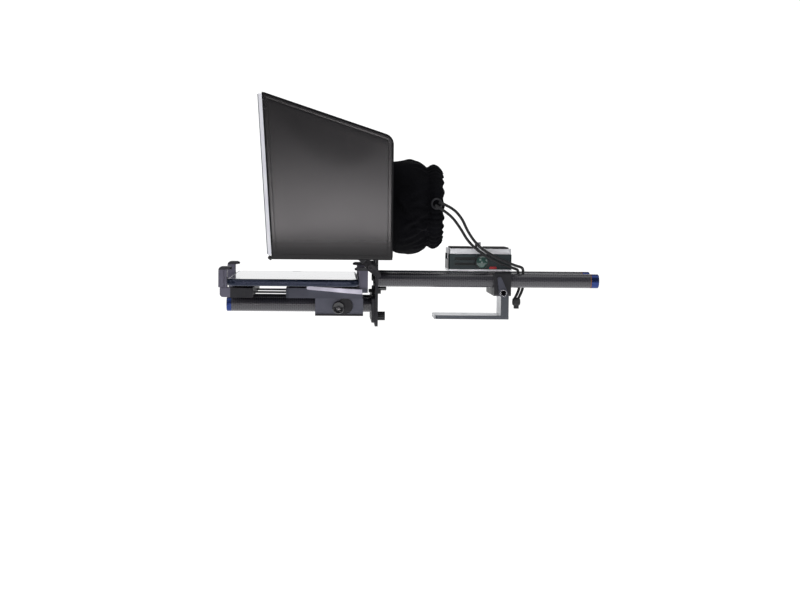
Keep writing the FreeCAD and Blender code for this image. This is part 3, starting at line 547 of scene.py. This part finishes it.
def make_materials():
    glass = Paint("beam_splitter", (0.80, 0.86, 0.90), 0.02, 0.9, Alpha=0.32)
    glass.rough(glass.spread(glass.noise(30), 0.3, 0.7, 0.012, 0.035))
    screen = Paint("screen_glass", (0.012, 0.013, 0.016), 0.05, Coat_Weight=0.6, Coat_Roughness=0.03)
    screen.rough(screen.spread(screen.noise(60, 4.0), 0.35, 0.75, 0.04, 0.10))
    cap = Paint("smoky_green", (0.030, 0.075, 0.065), 0.12, Coat_Weight=0.8, Coat_Roughness=0.06)
    cap.colour(cap.mix(cap.spread(cap.noise(120), 0.3, 0.7), (0.022, 0.055, 0.048), (0.055, 0.120, 0.100)))
    trim = Paint("light_trim", (0.84, 0.84, 0.89), 0.42)
    trim.colour(trim.mix(trim.spread(trim.noise(50), 0.3, 0.7), (0.80, 0.80, 0.87), (0.90, 0.90, 0.94)))
    trim.bump(trim.noise(700), 0.15, 0.08 * MM)
    return {
        "aluminium": bare_metal("bare_aluminium", (0.78, 0.79, 0.81)),
        "lever": bare_metal("lever_silver", (0.62, 0.61, 0.70), 0.40, brushed=(0.06, 1, 1)),
        "steel": bare_metal("screw_steel", (0.60, 0.60, 0.62), 0.22),
        "black": satin_black("black_anodised", (0.022, 0.022, 0.026)),
        "grey": satin_black("dark_grey_anodised", (0.066, 0.069, 0.092), 0.40, 0.3),
        "dark_screw": satin_black("blackened_steel", (0.030, 0.030, 0.032), 0.30, 0.8),
        "knob": moulded("black_knob", (0.016, 0.016, 0.018), 0.40),
        "upper_carbon": carbon("upper_carbon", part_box("upper_rods")[0].z + 7.5 * MM),
        "lower_carbon": carbon("lower_carbon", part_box("lower_rods")[0].z + 7.5 * MM),
        "blue": anodised("blue_anodised", (0.030, 0.052, 0.19), 0.28),
        "amber": moulded("cap_ring", (0.20, 0.075, 0.02), 0.5),
        "green": by_place("green_black", (0.020, 0.032, 0.035), (0.007, 0.011, 0.011), 0.36, 0.3,
                          from_middle("LESS_THAN", 25.5 * MM)),
        "green_cap": cap.material,
        "red": moulded("red_button", (0.55, 0.02, 0.025), 0.30, Coat_Weight=0.3),
        "rubber": ribbed_rubber("ribbed_rubber"),
        "tablet": satin_black("tablet_shell", (0.012, 0.018, 0.040), 0.24, 0.5, 0.1),
        "screen": screen.material,
        "glass": glass.material,
        "leather": leatherette("leatherette"),
        "binding": cloth("edge_binding", (0.006, 0.006, 0.007), 0.5 * MM, 0.0, 0.8, 0.15),
        "lining": cloth("black_lining", (0.008, 0.008, 0.009), 0.6 * MM, 0.1),
        "cloth": cloth("shroud_cloth", (0.0022, 0.0022, 0.0032), 0.42 * MM, 0.0, specular=0.12),
        "hook": cloth("hook_and_loop", (0.02, 0.02, 0.022), 0.9 * MM, 0.6),
        "thread": moulded("thread", (0.014, 0.013, 0.013), 0.7),
        "bright": bare_metal("bright_plate", (0.90, 0.91, 0.93), 0.45),
        "trim": trim.material,
        "cord": braid("braided_cord"),
        "clip": by_place("clip_grey", (0.112, 0.108, 0.145), (0.040, 0.040, 0.046), 0.40, 0.4, clip_tips),
        # The carriage's second tone: painted shade in the bottom band, plus the dark top band and the dark
        # boss.
        "carriage": by_place("carriage_grey", (0.088, 0.092, 0.120), (0.018, 0.018, 0.021), 0.38, 0.35,
                             carriage_shade_and_dark_parts),
        "foot": by_place("foot_silver", (0.66, 0.67, 0.69), (0.11, 0.12, 0.135), 0.34, 0.75,
                         from_middle("GREATER_THAN", 22.0 * MM)),
        # The dark second tone is painted shade in the hex socket of the clamp lever's screw.
        "screw_with_socket_shade": by_place("screw_with_socket_shade", (0.72, 0.72, 0.74), (0.010, 0.010, 0.011), 0.16, 1.0,
                                 socket_shade_of("clamp_lever_screw", 2.7 * MM)),
        "gloss_knob": moulded("gloss_knob", (0.018, 0.018, 0.020), 0.20, Coat_Weight=0.5,
                              Coat_Roughness=0.12),
    }


# ---- CAD nodes: edges eased and finishes given ----
FINISHES = {
    "aluminium": ["adapter_plate", "rod_inserts"],
    "bright": ["camera_plate"],
    "lever": ["slide_lock_lever"],
    "steel": ["base_screws", "clamp_nut", "adapter_screws", "camera_screw"],
    "dark_screw": ["rod_end_screws", "tilt_screws"],
    "black": ["rod_clamp_block", "front_plate", "hinge_brackets", "lower_bracket", "slider_bars",
              "jaw_carrier", "mirror_frame_sides", "mirror_frame_ends", "hinge_arms"],
    "grey": ["tray", "clamp_lever"],
    "knob": ["height_knob", "wing_screw", "adapter_knob", "cord_lock_plunger", "shroud_ring"],
    "upper_carbon": ["upper_rods"],
    "lower_carbon": ["lower_rods"],
    "blue": ["upper_rod_caps", "lower_rod_caps"],
    "amber": ["upper_rod_cap_rings"],
    "green": ["adapter_body"],
    "green_cap": ["adapter_knob_cap"],
    "red": ["release_button"],
    "rubber": ["camera_plate_pads", "tray_rubber_pads", "jaw_rubber_pads"],
    "tablet": ["tablet_shell", "tablet_home_button"],
    "screen": ["tablet_glass"],
    "glass": ["mirror_glass"],
    "hook": ["hood_fastener_pads"],
    "trim": ["hood_front_trims"],
    "clip": ["front_clips", "rear_clips"],
    "carriage": ["carriage_block"],
    "foot": ["foot_plate", "riser_block"],
    "screw_with_socket_shade": ["clamp_lever_screw"],
}
FINE_EDGES = {"height_knob", "wing_screw", "adapter_knob", "tilt_screws", "base_screws", "adapter_screws",
              "clamp_lever_screw", "clamp_nut", "rod_end_screws", "upper_rod_cap_rings", "tablet_glass",
              "tablet_home_button", "release_button", "mirror_glass", "camera_screw", "cord_lock_plunger"}
NO_EASING = {"tablet_shell", "adapter_knob_cap", "upper_rods", "lower_rods", "upper_rod_caps",
             "lower_rod_caps"}


def finish_nodes(paints):
    """Gives every shown CAD node its finish and small eased edges."""
    for finish, names in FINISHES.items():
        for name in names:
            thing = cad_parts[name]
            set_material(thing, paints[finish])
            for polygon in thing.data.polygons:
                polygon.material_index = 0
            if name in NO_EASING:
                continue
            weld = thing.modifiers.new("weld", "WELD")
            weld.merge_threshold = 0.002 * MM
            bevel = thing.modifiers.new("eased_edges", "BEVEL")
            bevel.width = (0.12 if name in FINE_EDGES else 0.4) * MM
            bevel.segments = 2
            bevel.limit_method = "ANGLE"
            bevel.angle_limit = radians(32)
            thing.modifiers.new("normals", "WEIGHTED_NORMAL").keep_sharp = True


# ---- Hood boards ----
BOARD_HALF = 1.5 * MM          # half the thickness of a covered board
HOOD_CORNER_R = 10 * MM        # rounding of the hood's rear top edge
RING_HOLE_R = 44 * MM          # lens hole in the rear panel
EDGE_R = 1.3 * MM              # the rounded edge of a covered board
HEM = 4.6 * MM                 # where the hem is sewn, measured in from the edge
HEM_DEPTH = 0.05 * MM
PILLOW_RUN = 45 * MM           # from the hem to where the skin is fully raised
EDGE_STEPS = [0.0, 0.25, 0.7, 1.3, 2.4, 3.7, 4.2, 4.6, 5.0, 5.6, 7.0]


def steps_across(width, inner):
    """Places across a board in mm: close together at both edges, about inner apart in the middle."""
    first = EDGE_STEPS[-1]
    gap = width - first - first
    count = max(1, int(round(gap / inner)))
    middle = [first + gap * i / count for i in range(1, count)]
    return EDGE_STEPS + middle + [width - s for s in reversed(EDGE_STEPS)]


def ease(value, low, high):
    """0 below low, 1 above high, and a smooth rise between."""
    t = max(0.0, min(1.0, (value - low) / (high - low)))
    return t * t * (3 - 2 * t)


def skin_height(distance, pillow, hem):
    """How far the skin stands off the board's middle at a distance in from its edge."""
    height = BOARD_HALF
    if distance < EDGE_R:
        height -= EDGE_R - sqrt(max(0.0, EDGE_R ** 2 - (EDGE_R - distance) ** 2))
    if hem:
        height -= HEM_DEPTH * exp(-((distance - HEM) / (0.55 * MM)) ** 2)
    return height + pillow * ease(distance, HEM, HEM + PILLOW_RUN)


def hood_board(name, node, points, normals, distances, pillow, closed=False):
    """Covered board over a grid, for a hood node: leatherette outside, lining inside, and rounded edges."""
    rows, columns = len(points), len(points[0])
    vertices = []
    for side, swell in ((1, pillow), (-1, 0.0)):
        for i in range(rows):
            for k in range(columns):
                lift = skin_height(distances[i][k], swell, side > 0)
                vertices.append(Vector(points[i][k]) + Vector(normals[i][k]) * (side * lift))
    half = rows * columns
    faces = grid_faces(rows, columns, 0, closed)
    outside = len(faces)
    faces += grid_faces(rows, columns, half, closed, flip=True)
    inside = len(faces)
    borders = []
    if closed:
        borders.append([i * columns for i in range(rows)] + [0])
        borders.append(list(reversed([i * columns + columns - 1 for i in range(rows)] + [columns - 1])))
    else:
        ring = list(range(columns))
        ring += [i * columns + columns - 1 for i in range(1, rows)]
        ring += [(rows - 1) * columns + k for k in range(columns - 2, -1, -1)]
        ring += [i * columns for i in range(rows - 2, -1, -1)]
        borders.append(list(reversed(ring)))
    for ring in borders:
        for a, b in zip(ring, ring[1:]):
            faces.append((b, a, a + half, b + half))
    thing = make_object(name, vertices, faces)
    set_material(thing, PAINTS["leather"], PAINTS["lining"])
    for index, polygon in enumerate(thing.data.polygons):
        polygon.material_index = 1 if outside <= index < inside else 0
    outward_normals(thing)
    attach(thing, "hood")
    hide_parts(node)


def line_distance(p, a, b):
    """Distance of a 2-D point from the line through a and b."""
    run = b - a
    return abs((p - a).x * run.y - (p - a).y * run.x) / run.length


def side_corners():
    """Outline of a side panel as (x, z): front low, front top, rear top, rear low."""
    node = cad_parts["hood_side_near"]
    points = [v.co for v in node.data.vertices]
    front_top = max(points, key=lambda p: p.z)
    front_low = min(points, key=lambda p: p.x + p.z * 4)
    rear_x = SIDE_HIGH.x
    on_top = min((p for p in points if p.x > rear_x - 16 * MM and p.z > 150 * MM), key=lambda p: p.x)
    slope = (on_top.z - front_top.z) / (on_top.x - front_top.x)
    rear_top_z = front_top.z + slope * (rear_x - front_top.x)
    return (Vector((front_low.x, front_low.z)), Vector((front_top.x, front_top.z)),
            Vector((rear_x, rear_top_z)), Vector((rear_x, SIDE_LOW.z)))


def panel_edges():
    """The side panel's four edges, from corner to corner."""
    return list(zip(CORNERS, CORNERS[1:] + CORNERS[:1]))


def corner_reach(r):
    """How far a corner rounding of radius r reaches along the hood's rear and top edges."""
    low_f, top_f, top_r, low_r = CORNERS
    inside = (top_f - top_r).angle(low_r - top_r)
    return r / tan(inside / 2)


def round_corner(p, corner, along, down, r):
    """Moves a point near the rear top corner so that the square corner becomes round."""
    basis = Matrix(((along.x, down.x), (along.y, down.y)))
    a, b = basis.inverted() @ (p - corner)
    if a >= r or b >= r:
        return p, None
    x = (r - a) / r
    y = (r - b) / r
    x_new = x * sqrt(1 - y * y / 2)
    y_new = y * sqrt(1 - x * x / 2)
    moved = corner + along * (r - x_new * r) + down * (r - y_new * r)
    return moved, (1 - hypot(x_new, y_new)) * r


def make_side_panel(label, side):
    """One leatherette-covered side panel. side is -1 on the near side and 1 on the far side."""
    low_f, top_f, top_r, low_r = CORNERS
    along = (top_f - top_r).normalized()
    down = (low_r - top_r).normalized()
    wide = (low_r.x - low_f.x + top_r.x - top_f.x) / 2 / MM
    high = (top_f.y - low_f.y + top_r.y - low_r.y) / 2 / MM
    across, upward = steps_across(wide, 6.0), steps_across(high, 6.0)
    points, distances = [], []
    y = side * (SIDE_Y - BOARD_HALF)
    for s in across:
        u = s / wide
        row, row_distances = [], []
        for t in upward:
            v = t / high
            p = low_f * (1 - u) * (1 - v) + low_r * u * (1 - v) + top_r * u * v + top_f * (1 - u) * v
            edges = [line_distance(p, a, b) for a, b in panel_edges()]
            moved, near = round_corner(p, top_r, along, down, corner_reach(HOOD_CORNER_R))
            row.append((moved.x, y, moved.y))
            row_distances.append(min(edges) if near is None else near)
        points.append(row)
        distances.append(row_distances)
    normals = [[(0, side, 0)] * len(upward)] * len(across)
    hood_board("hood_panel_" + label, "hood_side_" + label, points, normals, distances, 0.30 * MM)


def outline_inset(inset):
    """The side panel's outline moved in by inset: up the front, over the top, and down the rear."""
    lines = []
    for a, b in panel_edges():
        run = b - a
        inward = Vector((run.y, -run.x)).normalized()
        lines.append((a + inward * inset, run.normalized()))
    moved = []
    for (p, d), (q, e) in zip(lines[-1:] + lines, lines):
        cross = d.x * e.y - d.y * e.x
        share = ((q - p).x * e.y - (q - p).y * e.x) / cross
        moved.append(p + d * share)
    r = max(1.5 * MM, corner_reach(HOOD_CORNER_R) - inset * 0.8)
    along = (moved[1] - moved[2]).normalized()
    down = (moved[3] - moved[2]).normalized()
    steps = 8
    arc = []
    for i in range(steps + 1):
        angle = pi / 2 * i / steps
        x, y = sin(angle), cos(angle)
        arc.append(moved[2] + along * (r - x * r) + down * (r - y * r))
    return [moved[0], moved[1]] + arc + [moved[3]]


def make_hood_trim(side, label):
    """Piping round the panel's edge, the hem's stitches, studs and the corner tip."""
    edge = [Vector((p.x, side * (SIDE_Y - 0.9 * MM), p.y)) for p in outline_inset(0.4 * MM)]
    loop = resample(edge + [edge[0]], 3 * MM)
    piping = set_material(tube("hood_piping_" + label, loop, 0.7 * MM, 10), PAINTS["binding"])
    hem = [Vector((p.x, side * (SIDE_Y - HEM_DEPTH), p.y)) for p in outline_inset(HEM)]
    row = stitches("hood_stitches_" + label, hem + [hem[0]], (0, side, 0))
    set_material(row, PAINTS["thread"])
    studs = []
    low_f, top_f = CORNERS[:2]
    for share in (0.905, 0.955):
        p = low_f.lerp(top_f, share)
        centre = (p.x + 1.6 * MM, side * (SIDE_Y - 0.2 * MM), p.y)
        profile = [(0, 1.5), (0.7, 1.5), (1.05, 1.25), (1.3, 0.8), (1.4, 0.2)]
        studs.append(lathe("stud", centre, (0, side, 0), profile, 20))
    studs = set_material(join("hood_studs_" + label, studs), PAINTS["dark_screw"])
    tip_at = (low_f.x - 1.6 * MM, side * (SIDE_Y - 1.5 * MM), low_f.y + 1.2 * MM)
    profile = [(-2.2, 1.0), (-1.6, 1.9), (1.6, 2.1), (2.2, 1.2)]
    tip = lathe("hood_corner_tip_" + label, tip_at, (0.82, 0, -0.57), profile, 20)
    set_material(tip, PAINTS["rubber"])
    top = low_f.lerp(top_f, 0.985)
    low = low_f.lerp(top_f, 0.03)
    middle = low_f.lerp(top_f, 0.5)
    bead_y = side * (SIDE_Y - 1.5 * MM)
    run = [Vector((p.x - 3.7 * MM, bead_y, p.y)) for p in (low, middle, top)]
    bead = tube("hood_trim_bead_" + label, resample(run, 8 * MM), 0.65 * MM, 10)
    set_material(bead, PAINTS["grey"])
    for piece, slot_name in ((piping, "hood_leatherette"), (row, "hood_leatherette"), (studs, "black_knob"),
                             (tip, "rubber"), (bead, "black_metal")):
        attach(piece, "hood")


def hood_path():
    """Mid line of the top board in X and Z: up the rear, round the rear top corner, and along the slope."""
    low_f, top_f, top_r, low_r = CORNERS
    run = (top_f - top_r).normalized()
    lean = atan2(run.y, -run.x)
    tangent = corner_reach(HOOD_CORNER_R)
    centre = Vector((top_r.x - HOOD_CORNER_R, top_r.y - tangent))
    r = HOOD_CORNER_R - BOARD_HALF
    turn = pi / 2 - lean
    rise = centre.y - TOP_LOW.z
    slope = (top_f - top_r).length - tangent - 0.6 * MM

    def at(s):
        if s < rise:
            return Vector((centre.x + r, TOP_LOW.z + s)), Vector((1, 0))
        angle = min((s - rise) / r, turn)
        normal = Vector((cos(angle), sin(angle)))
        point = centre + normal * r
        beyond = s - rise - turn * r
        return point + run * max(0.0, beyond), normal

    return at, rise, turn * r, slope


def make_top_panel():
    """Top panel: its rounded rear edge turns down to meet the rear panel."""
    at, rise, arc, slope = hood_path()
    total = rise + arc + slope
    places = steps_across(total / MM, 8.0)
    places += [(rise + arc * i / 10) / MM for i in range(11)]
    places = sorted(set(round(s, 2) for s in places))
    inside = SIDE_Y - 2 * BOARD_HALF
    across = steps_across(2 * inside / MM, 8.0)
    points, normals, distances = [], [], []
    for s in places:
        point, normal = at(s * MM)
        points.append([(point.x, t * MM - inside, point.y) for t in across])
        normals.append([(normal.x, 0, normal.y) for t in across])
        near = min(s * MM, total - s * MM)
        distances.append([min(near, t * MM, 2 * inside - t * MM) for t in across])
    hood_board("hood_top_panel", "hood_top", points, normals, distances, 0.8 * MM)


def make_rear_panel():
    """Rear panel, from the lens hole out to its four straight edges."""
    half = SIDE_Y - 2 * BOARD_HALF
    low, high = REAR_LOW.z - LENS_Z, REAR_HIGH.z - LENS_Z
    corners = [atan2(z, y) % (2 * pi) for y in (-half, half) for z in (low, high)]
    turns = sorted(set(round(angle, 5) for angle in angles(120) + corners))
    shares = [0.0, 0.012, 0.03, 0.06, 0.10, 0.16, 0.26, 0.38, 0.5,
              0.62, 0.74, 0.84, 0.90, 0.94, 0.97, 0.988, 1.0]
    points, normals, distances = [], [], []
    for angle in turns:
        y, z = cos(angle), sin(angle)
        reach = min((half if y > 0 else -half) / y if abs(y) > 1e-6 else 9.0,
                    (high if z > 0 else low) / z if abs(z) > 1e-6 else 9.0)
        row = []
        near = []
        for share in shares:
            r = RING_HOLE_R + (reach - RING_HOLE_R) * share
            row.append((REAR_HIGH.x - BOARD_HALF, y * r, LENS_Z + z * r))
            near.append(max(0.0, min(r - RING_HOLE_R, half - abs(y * r), high - z * r, z * r - low)))
        points.append(row)
        normals.append([(1, 0, 0)] * len(shares))
        distances.append(near)
    hood_board("hood_rear_panel", "hood_rear", points, normals, distances, 0.0, closed=True)


# ---- Shroud ----
# The sleeve's line as (X, radius) in mm: full near the hood, drawn in at the channel, then a collar.
SLEEVE_LINE = [(-81.2, 47.4), (-76.0, 48.6), (-69.0, 49.6), (-60.0, 49.6), (-52.0, 47.4), (-46.0, 43.6),
               (-42.5, 41.8), (-39.5, 43.6), (-35.5, 44.8), (-31.0, 43.0), (-28.0, 39.8), (-26.6, 36.6)]
CHANNEL_X = -42.5
FOLDS = 26
PLEATS = 42
SLEEVE_TURNS = 336
SLEEVE_STEPS = 84
EYELET_AT = (-0.0350, -0.0475, 0.1227)


def along_line(line, share):
    """Point at a share of a line of (x, r) points, on a smooth curve through them."""
    place = share * (len(line) - 1)
    i = min(int(place), len(line) - 2)
    t = place - i
    a, b = Vector(line[i]), Vector(line[i + 1])
    before = Vector(line[i - 1]) if i > 0 else a * 2 - b
    after = Vector(line[i + 2]) if i + 2 < len(line) else b * 2 - a
    start = (b - before) / 2
    end = (after - a) / 2
    return (a * (2 * t ** 3 - 3 * t ** 2 + 1) + start * (t ** 3 - 2 * t ** 2 + t)
            + b * (3 * t ** 2 - 2 * t ** 3) + end * (t ** 3 - t ** 2))


def sleeve_folds():
    """Long soft folds that gather towards the cord channel: angle, slant, start, width and height of each."""
    folds = []
    for i in range(FOLDS):
        folds.append((2 * pi * (i + random.uniform(-0.35, 0.35)) / FOLDS, random.uniform(-0.011, 0.011),
                      random.uniform(-80, -62), random.uniform(2.0, 3.6), random.uniform(0.9, 2.1)))
    # Three large folds run across the near side, where the cloth hangs.
    folds.append((radians(214), 0.021, -82, 4.8, 3.2))
    folds.append((radians(206), -0.010, -76, 3.4, 2.0))
    folds.append((radians(186), -0.012, -74, 3.0, 2.2))
    return folds


def sleeve_swell(x, angle, r, folds, pleat_shift):
    """How far the cloth stands off the sleeve's plain line, in mm."""
    body = ease(x, -81, -74) * (1 - ease(x, -46, -41.5))
    swell = 0.0
    for at, slant, start, wide, height in folds:
        centre = at + slant * (x - CHANNEL_X)
        away = ((angle - centre + pi) % (2 * pi) - pi) * r
        width = wide * (0.75 + 0.45 * (CHANNEL_X - x) / 40)
        crest = exp(-(away / width) ** 2)
        trough = exp(-((away - 2.1 * width) / width) ** 2)
        swell += height * ease(x, start, start + 14) * (crest - 0.42 * trough)
    swell *= body
    pleated = ease(x, -50, -42) * (1 - 0.45 * ease(x, -31, -26.6))
    phase = PLEATS * angle + pleat_shift(angle)
    ridge = abs(sin(phase / 2)) ** 0.8
    depth = 1.10 + 0.80 * sin(3 * angle + 0.6) * sin(7 * angle)
    swell += pleated * depth * (ridge - 0.62)
    # The cloth hangs a little below the lens and lies flat above it.
    sag = max(0.0, -sin(angle))
    swell += 1.3 * body * sag ** 2 - 0.5 * body * max(0.0, sin(angle)) ** 3
    return swell


def make_shroud():
    """Cloth sleeve with a drawn-in cord channel and a ruffled collar."""
    folds = sleeve_folds()
    jitter = [random.uniform(0, 2 * pi) for _ in range(3)]

    def pleat_shift(angle):
        return 1.4 * sin(2 * angle + jitter[0]) + 1.0 * sin(5 * angle + jitter[1])

    vertices = []
    for angle in angles(SLEEVE_TURNS):
        for k in range(SLEEVE_STEPS):
            x, r = along_line(SLEEVE_LINE, k / (SLEEVE_STEPS - 1))
            swell = sleeve_swell(x, angle, r, folds, pleat_shift)
            edge = ease(x, -34, -26.6)
            x_moved = x + edge * 0.9 * sin(PLEATS * angle / 2 + 2 * sin(3 * angle + jitter[2]))
            y = cos(angle) * (r + swell) * MM
            z = LENS_Z + sin(angle) * (r + swell) * MM
            vertices.append((x_moved * MM, y, z))
    sleeve = make_object("shroud_sleeve", vertices, grid_faces(SLEEVE_TURNS, SLEEVE_STEPS, closed=True))
    set_material(sleeve, PAINTS["cloth"])
    outward_normals(sleeve)
    solid = sleeve.modifiers.new("thickness", "SOLIDIFY")
    solid.thickness = 0.7 * MM
    solid.offset = -1
    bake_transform(sleeve)
    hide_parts("shroud")


def make_collar_eyelet():
    """Eyelet in the collar's near side, where both strands of the cord come out."""
    profile = [(-0.9, 4.4), (-1.2, 4.9), (-1.1, 5.7), (-0.5, 6.1), (0.3, 6.1), (0.8, 5.6), (0.8, 4.8),
               (0.3, 4.3), (-0.4, 4.2)]
    ring = lathe("collar_eyelet", EYELET_AT, (0, 1, 0), profile, 36, loop=True)
    set_material(ring, PAINTS["black"])
    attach(ring, "rails")


# ---- Drawcord ----
STRAND_LOW = [
    (-0.0368, -0.0486, 0.1210), (-0.0220, -0.0475, 0.1130), (-0.0100, -0.0458, 0.0980),
    (-0.0015, -0.0443, 0.0835), (0.0110, -0.0428, 0.0725), (0.0285, -0.0412, 0.0625),
    (0.0435, -0.0390, 0.0568), (0.0510, -0.0325, 0.0545), (0.0540, -0.0245, 0.0530),
    (0.0562, -0.0180, 0.0460), (0.0572, -0.0170, 0.0380), (0.0558, -0.0171, 0.0295),
    (0.0516, -0.0175, 0.0220),
]
STRAND_HIGH = [
    (-0.0330, -0.0472, 0.1245), (-0.0195, -0.0485, 0.1195), (-0.0085, -0.0485, 0.1080),
    (-0.0025, -0.0473, 0.0945), (0.0075, -0.0458, 0.0805), (0.0205, -0.0444, 0.0708),
    (0.0360, -0.0425, 0.0635), (0.0490, -0.0400, 0.0585), (0.0565, -0.0335, 0.0565),
    (0.0593, -0.0250, 0.0545), (0.0607, -0.0178, 0.0480), (0.0610, -0.0166, 0.0390),
    (0.0599, -0.0169, 0.0300), (0.0554, -0.0175, 0.0220),
]
CORD_R = 1.5 * MM
LOCK_LOW, LOCK_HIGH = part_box("cord_lock_body")


def smooth_line(name, route):
    """Points of the route's NURBS spline."""
    curve = bpy.data.curves.new(name, "CURVE")
    curve.dimensions = "3D"
    spline = curve.splines.new("NURBS")
    spline.points.add(len(route) - 1)
    for point, place in zip(spline.points, route):
        point.co = (*place, 1)
    spline.order_u = 3
    spline.use_endpoint_u = True
    spline.resolution_u = 34
    carrier = link(bpy.data.objects.new(name, curve))
    bpy.context.view_layer.update()
    mesh = bpy.data.meshes.new_from_object(carrier)
    line = [v.co.copy() for v in mesh.vertices]
    bpy.data.objects.remove(carrier)
    bpy.data.curves.remove(curve)
    bpy.data.meshes.remove(mesh)
    return line


def braid_relief(angle, distance):
    """Crossing strands of a braided cord, as a share of its radius."""
    turn = 2 * pi * distance / (7.5 * MM)
    one = abs(sin(3 * angle + turn * 1.5))
    two = abs(sin(3 * angle - turn * 1.5))
    return 0.90 + 0.10 * max(one, two) - 0.02 * one * two


def make_cord(name, route, node):
    line = smooth_line(name + "_line", route)
    cord = tube(name, line, CORD_R, 22, braid_relief)
    set_material(cord, PAINTS["cord"])
    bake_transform(cord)
    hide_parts(node)


def make_toggle():
    """Spring cord lock: two lobes side by side, ribbed grips, and a rounded top."""
    centre = (LOCK_LOW + LOCK_HIGH) / 2
    height = LOCK_HIGH.z - LOCK_LOW.z
    half = (LOCK_HIGH.x - LOCK_LOW.x) / 2
    sides = 64
    steps = 34
    vertices = []
    for k in range(steps):
        t = k / (steps - 1)
        end = min(t, 1 - t) * height
        rounding = sqrt(max(0.0, 1 - max(0.0, 1 - end / (1.6 * MM)) ** 2))
        belly = sin(pi * t)
        bulge = 0.86 + 0.14 * belly + 0.035 * sin(t * pi * 11) * belly
        for angle in angles(sides):
            lobe = 0.80 + 0.20 * abs(cos(angle)) ** 1.2
            r = half * lobe * bulge * (0.62 + 0.38 * rounding)
            vertices.append((centre.x + cos(angle) * r, centre.y + sin(angle) * r * 0.86,
                             LOCK_LOW.z + t * height))
    toggle = make_object("cord_toggle", vertices, ring_faces(steps, sides))
    set_material(toggle, PAINTS["knob"])
    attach(toggle, "base")
    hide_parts("cord_lock_body")
    return toggle


# ---- Carriage knob ----
def make_carriage_knob():
    """Turned knob with a knurled skirt, a rounded rim and a dished face."""
    low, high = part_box("carriage_knob")
    r = (high.x - low.x) / 2
    x, z = (low.x + high.x) / 2, (low.z + high.z) / 2
    profile = [(0.0, 0.3 * MM), (0.0, 0.34 * r), (-0.2 * MM, 0.66 * r), (-0.9 * MM, 0.80 * r),
               (-1.1 * MM, 0.86 * r), (-0.95 * MM, 0.92 * r), (-0.3 * MM, 0.965 * r), (0.9 * MM, 0.98 * r),
               (1.7 * MM, r), (2.3 * MM, r), (KNOB_HEAD - 0.6 * MM, r), (KNOB_HEAD, 0.93 * r),
               (KNOB_HEAD, 0.3 * MM)]
    sides = 120
    vertices = []
    for along, radius in profile:
        knurled = 1.2 * MM < along < KNOB_HEAD - 0.3 * MM
        y = low.y + (along + KNOB_RIM)
        for angle in angles(sides):
            cut = KNURL * (0.5 + 0.5 * cos(angle * 30)) if knurled else 0.0
            vertices.append((x + cos(angle) * (radius - cut), y, z + sin(angle) * (radius - cut)))
    knob = make_object("carriage_lock_knob", vertices, ring_faces(len(profile), sides))
    outward_normals(knob)
    set_material(knob, PAINTS["gloss_knob"])
    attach(knob, "carriage_knob")
    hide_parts("carriage_knob")


# ---- Stage and light ----
def make_stage():
    """Round pale floor well below the part, lit evenly like a studio sweep."""
    rim = [(cos(angle) * FLOOR_R, sin(angle) * FLOOR_R, FLOOR_Z) for angle in angles(96)]
    floor = make_object("studio_floor", rim, [tuple(range(len(rim)))])
    paint = Paint("studio_white", (0.80, 0.80, 0.81), 0.9, Emission_Color=(1, 1, 1, 1),
                  Emission_Strength=0.85)
    paint.rough(paint.spread(paint.noise(3.0), 0.3, 0.7, 0.85, 0.95))
    set_material(floor, paint.material)


def area_light(name, place, towards, size, watts, colour=(1, 1, 1)):
    lamp = bpy.data.lights.new(name, "AREA")
    lamp.shape = "RECTANGLE"
    lamp.size, lamp.size_y = size
    lamp.energy = watts
    lamp.color = colour
    light = link(bpy.data.objects.new(name, lamp))
    light.location = place
    light.rotation_euler = (Vector(towards) - Vector(place)).to_track_quat("-Z", "Y").to_euler()
    light.visible_camera = False


def make_light():
    world = bpy.data.worlds.new("studio")
    bpy.context.scene.world = world
    world.use_nodes = True
    tree = world.node_tree
    fill = tree.nodes["Background"]
    fill.inputs["Color"].default_value = (0.88, 0.92, 1.0, 1)
    fill.inputs["Strength"].default_value = 0.10
    backdrop = tree.nodes.new("ShaderNodeBackground")
    backdrop.inputs["Color"].default_value = (1, 1, 1, 1)
    backdrop.inputs["Strength"].default_value = 1.1
    seen = tree.nodes.new("ShaderNodeLightPath")
    choose = tree.nodes.new("ShaderNodeMixShader")
    tree.links.new(seen.outputs["Is Camera Ray"], choose.inputs[0])
    tree.links.new(fill.outputs[0], choose.inputs[1])
    tree.links.new(backdrop.outputs[0], choose.inputs[2])
    tree.links.new(choose.outputs[0], tree.nodes["World Output"].inputs["Surface"])
    area_light("softbox_camera", (-0.15, -2.0, 0.072), (-0.15, 0, 0.115), (0.60, 0.11), 2.3,
               (1.0, 0.95, 0.97))
    area_light("overhead", (0.1, -0.2, 2.2), (0, 0, 0), (2.2, 1.6), 12)
    area_light("front_key", (-1.0, -2.0, 1.6), (-0.05, 0, 0.05), (1.2, 1.0), 11)
    area_light("left_panel", (-2.2, -1.0, 0.7), (-0.1, 0, 0.05), (1.2, 1.2), 7)
    area_light("right_panel", (2.2, -1.0, 0.7), (0, 0, 0.05), (1.2, 1.2), 7)
    area_light("back_panel", (0.0, 2.6, 0.72), (0, 0, 0.72), (3.4, 1.9), 18)
    bpy.context.scene.view_settings.view_transform = "Standard"


PAINTS = make_materials()
CORNERS = side_corners()
make_camera()
finish_nodes(PAINTS)
toggle = make_toggle()
make_cord("drawcord_strand_low", STRAND_LOW, "drawcord_low")
make_cord("drawcord_strand_high", STRAND_HIGH, "drawcord_high")
for label, side in (("near", -1), ("far", 1)):
    make_side_panel(label, side)
    make_hood_trim(side, label)
make_top_panel()
make_rear_panel()
make_shroud()
make_collar_eyelet()
make_carriage_knob()
make_stage()
make_light()
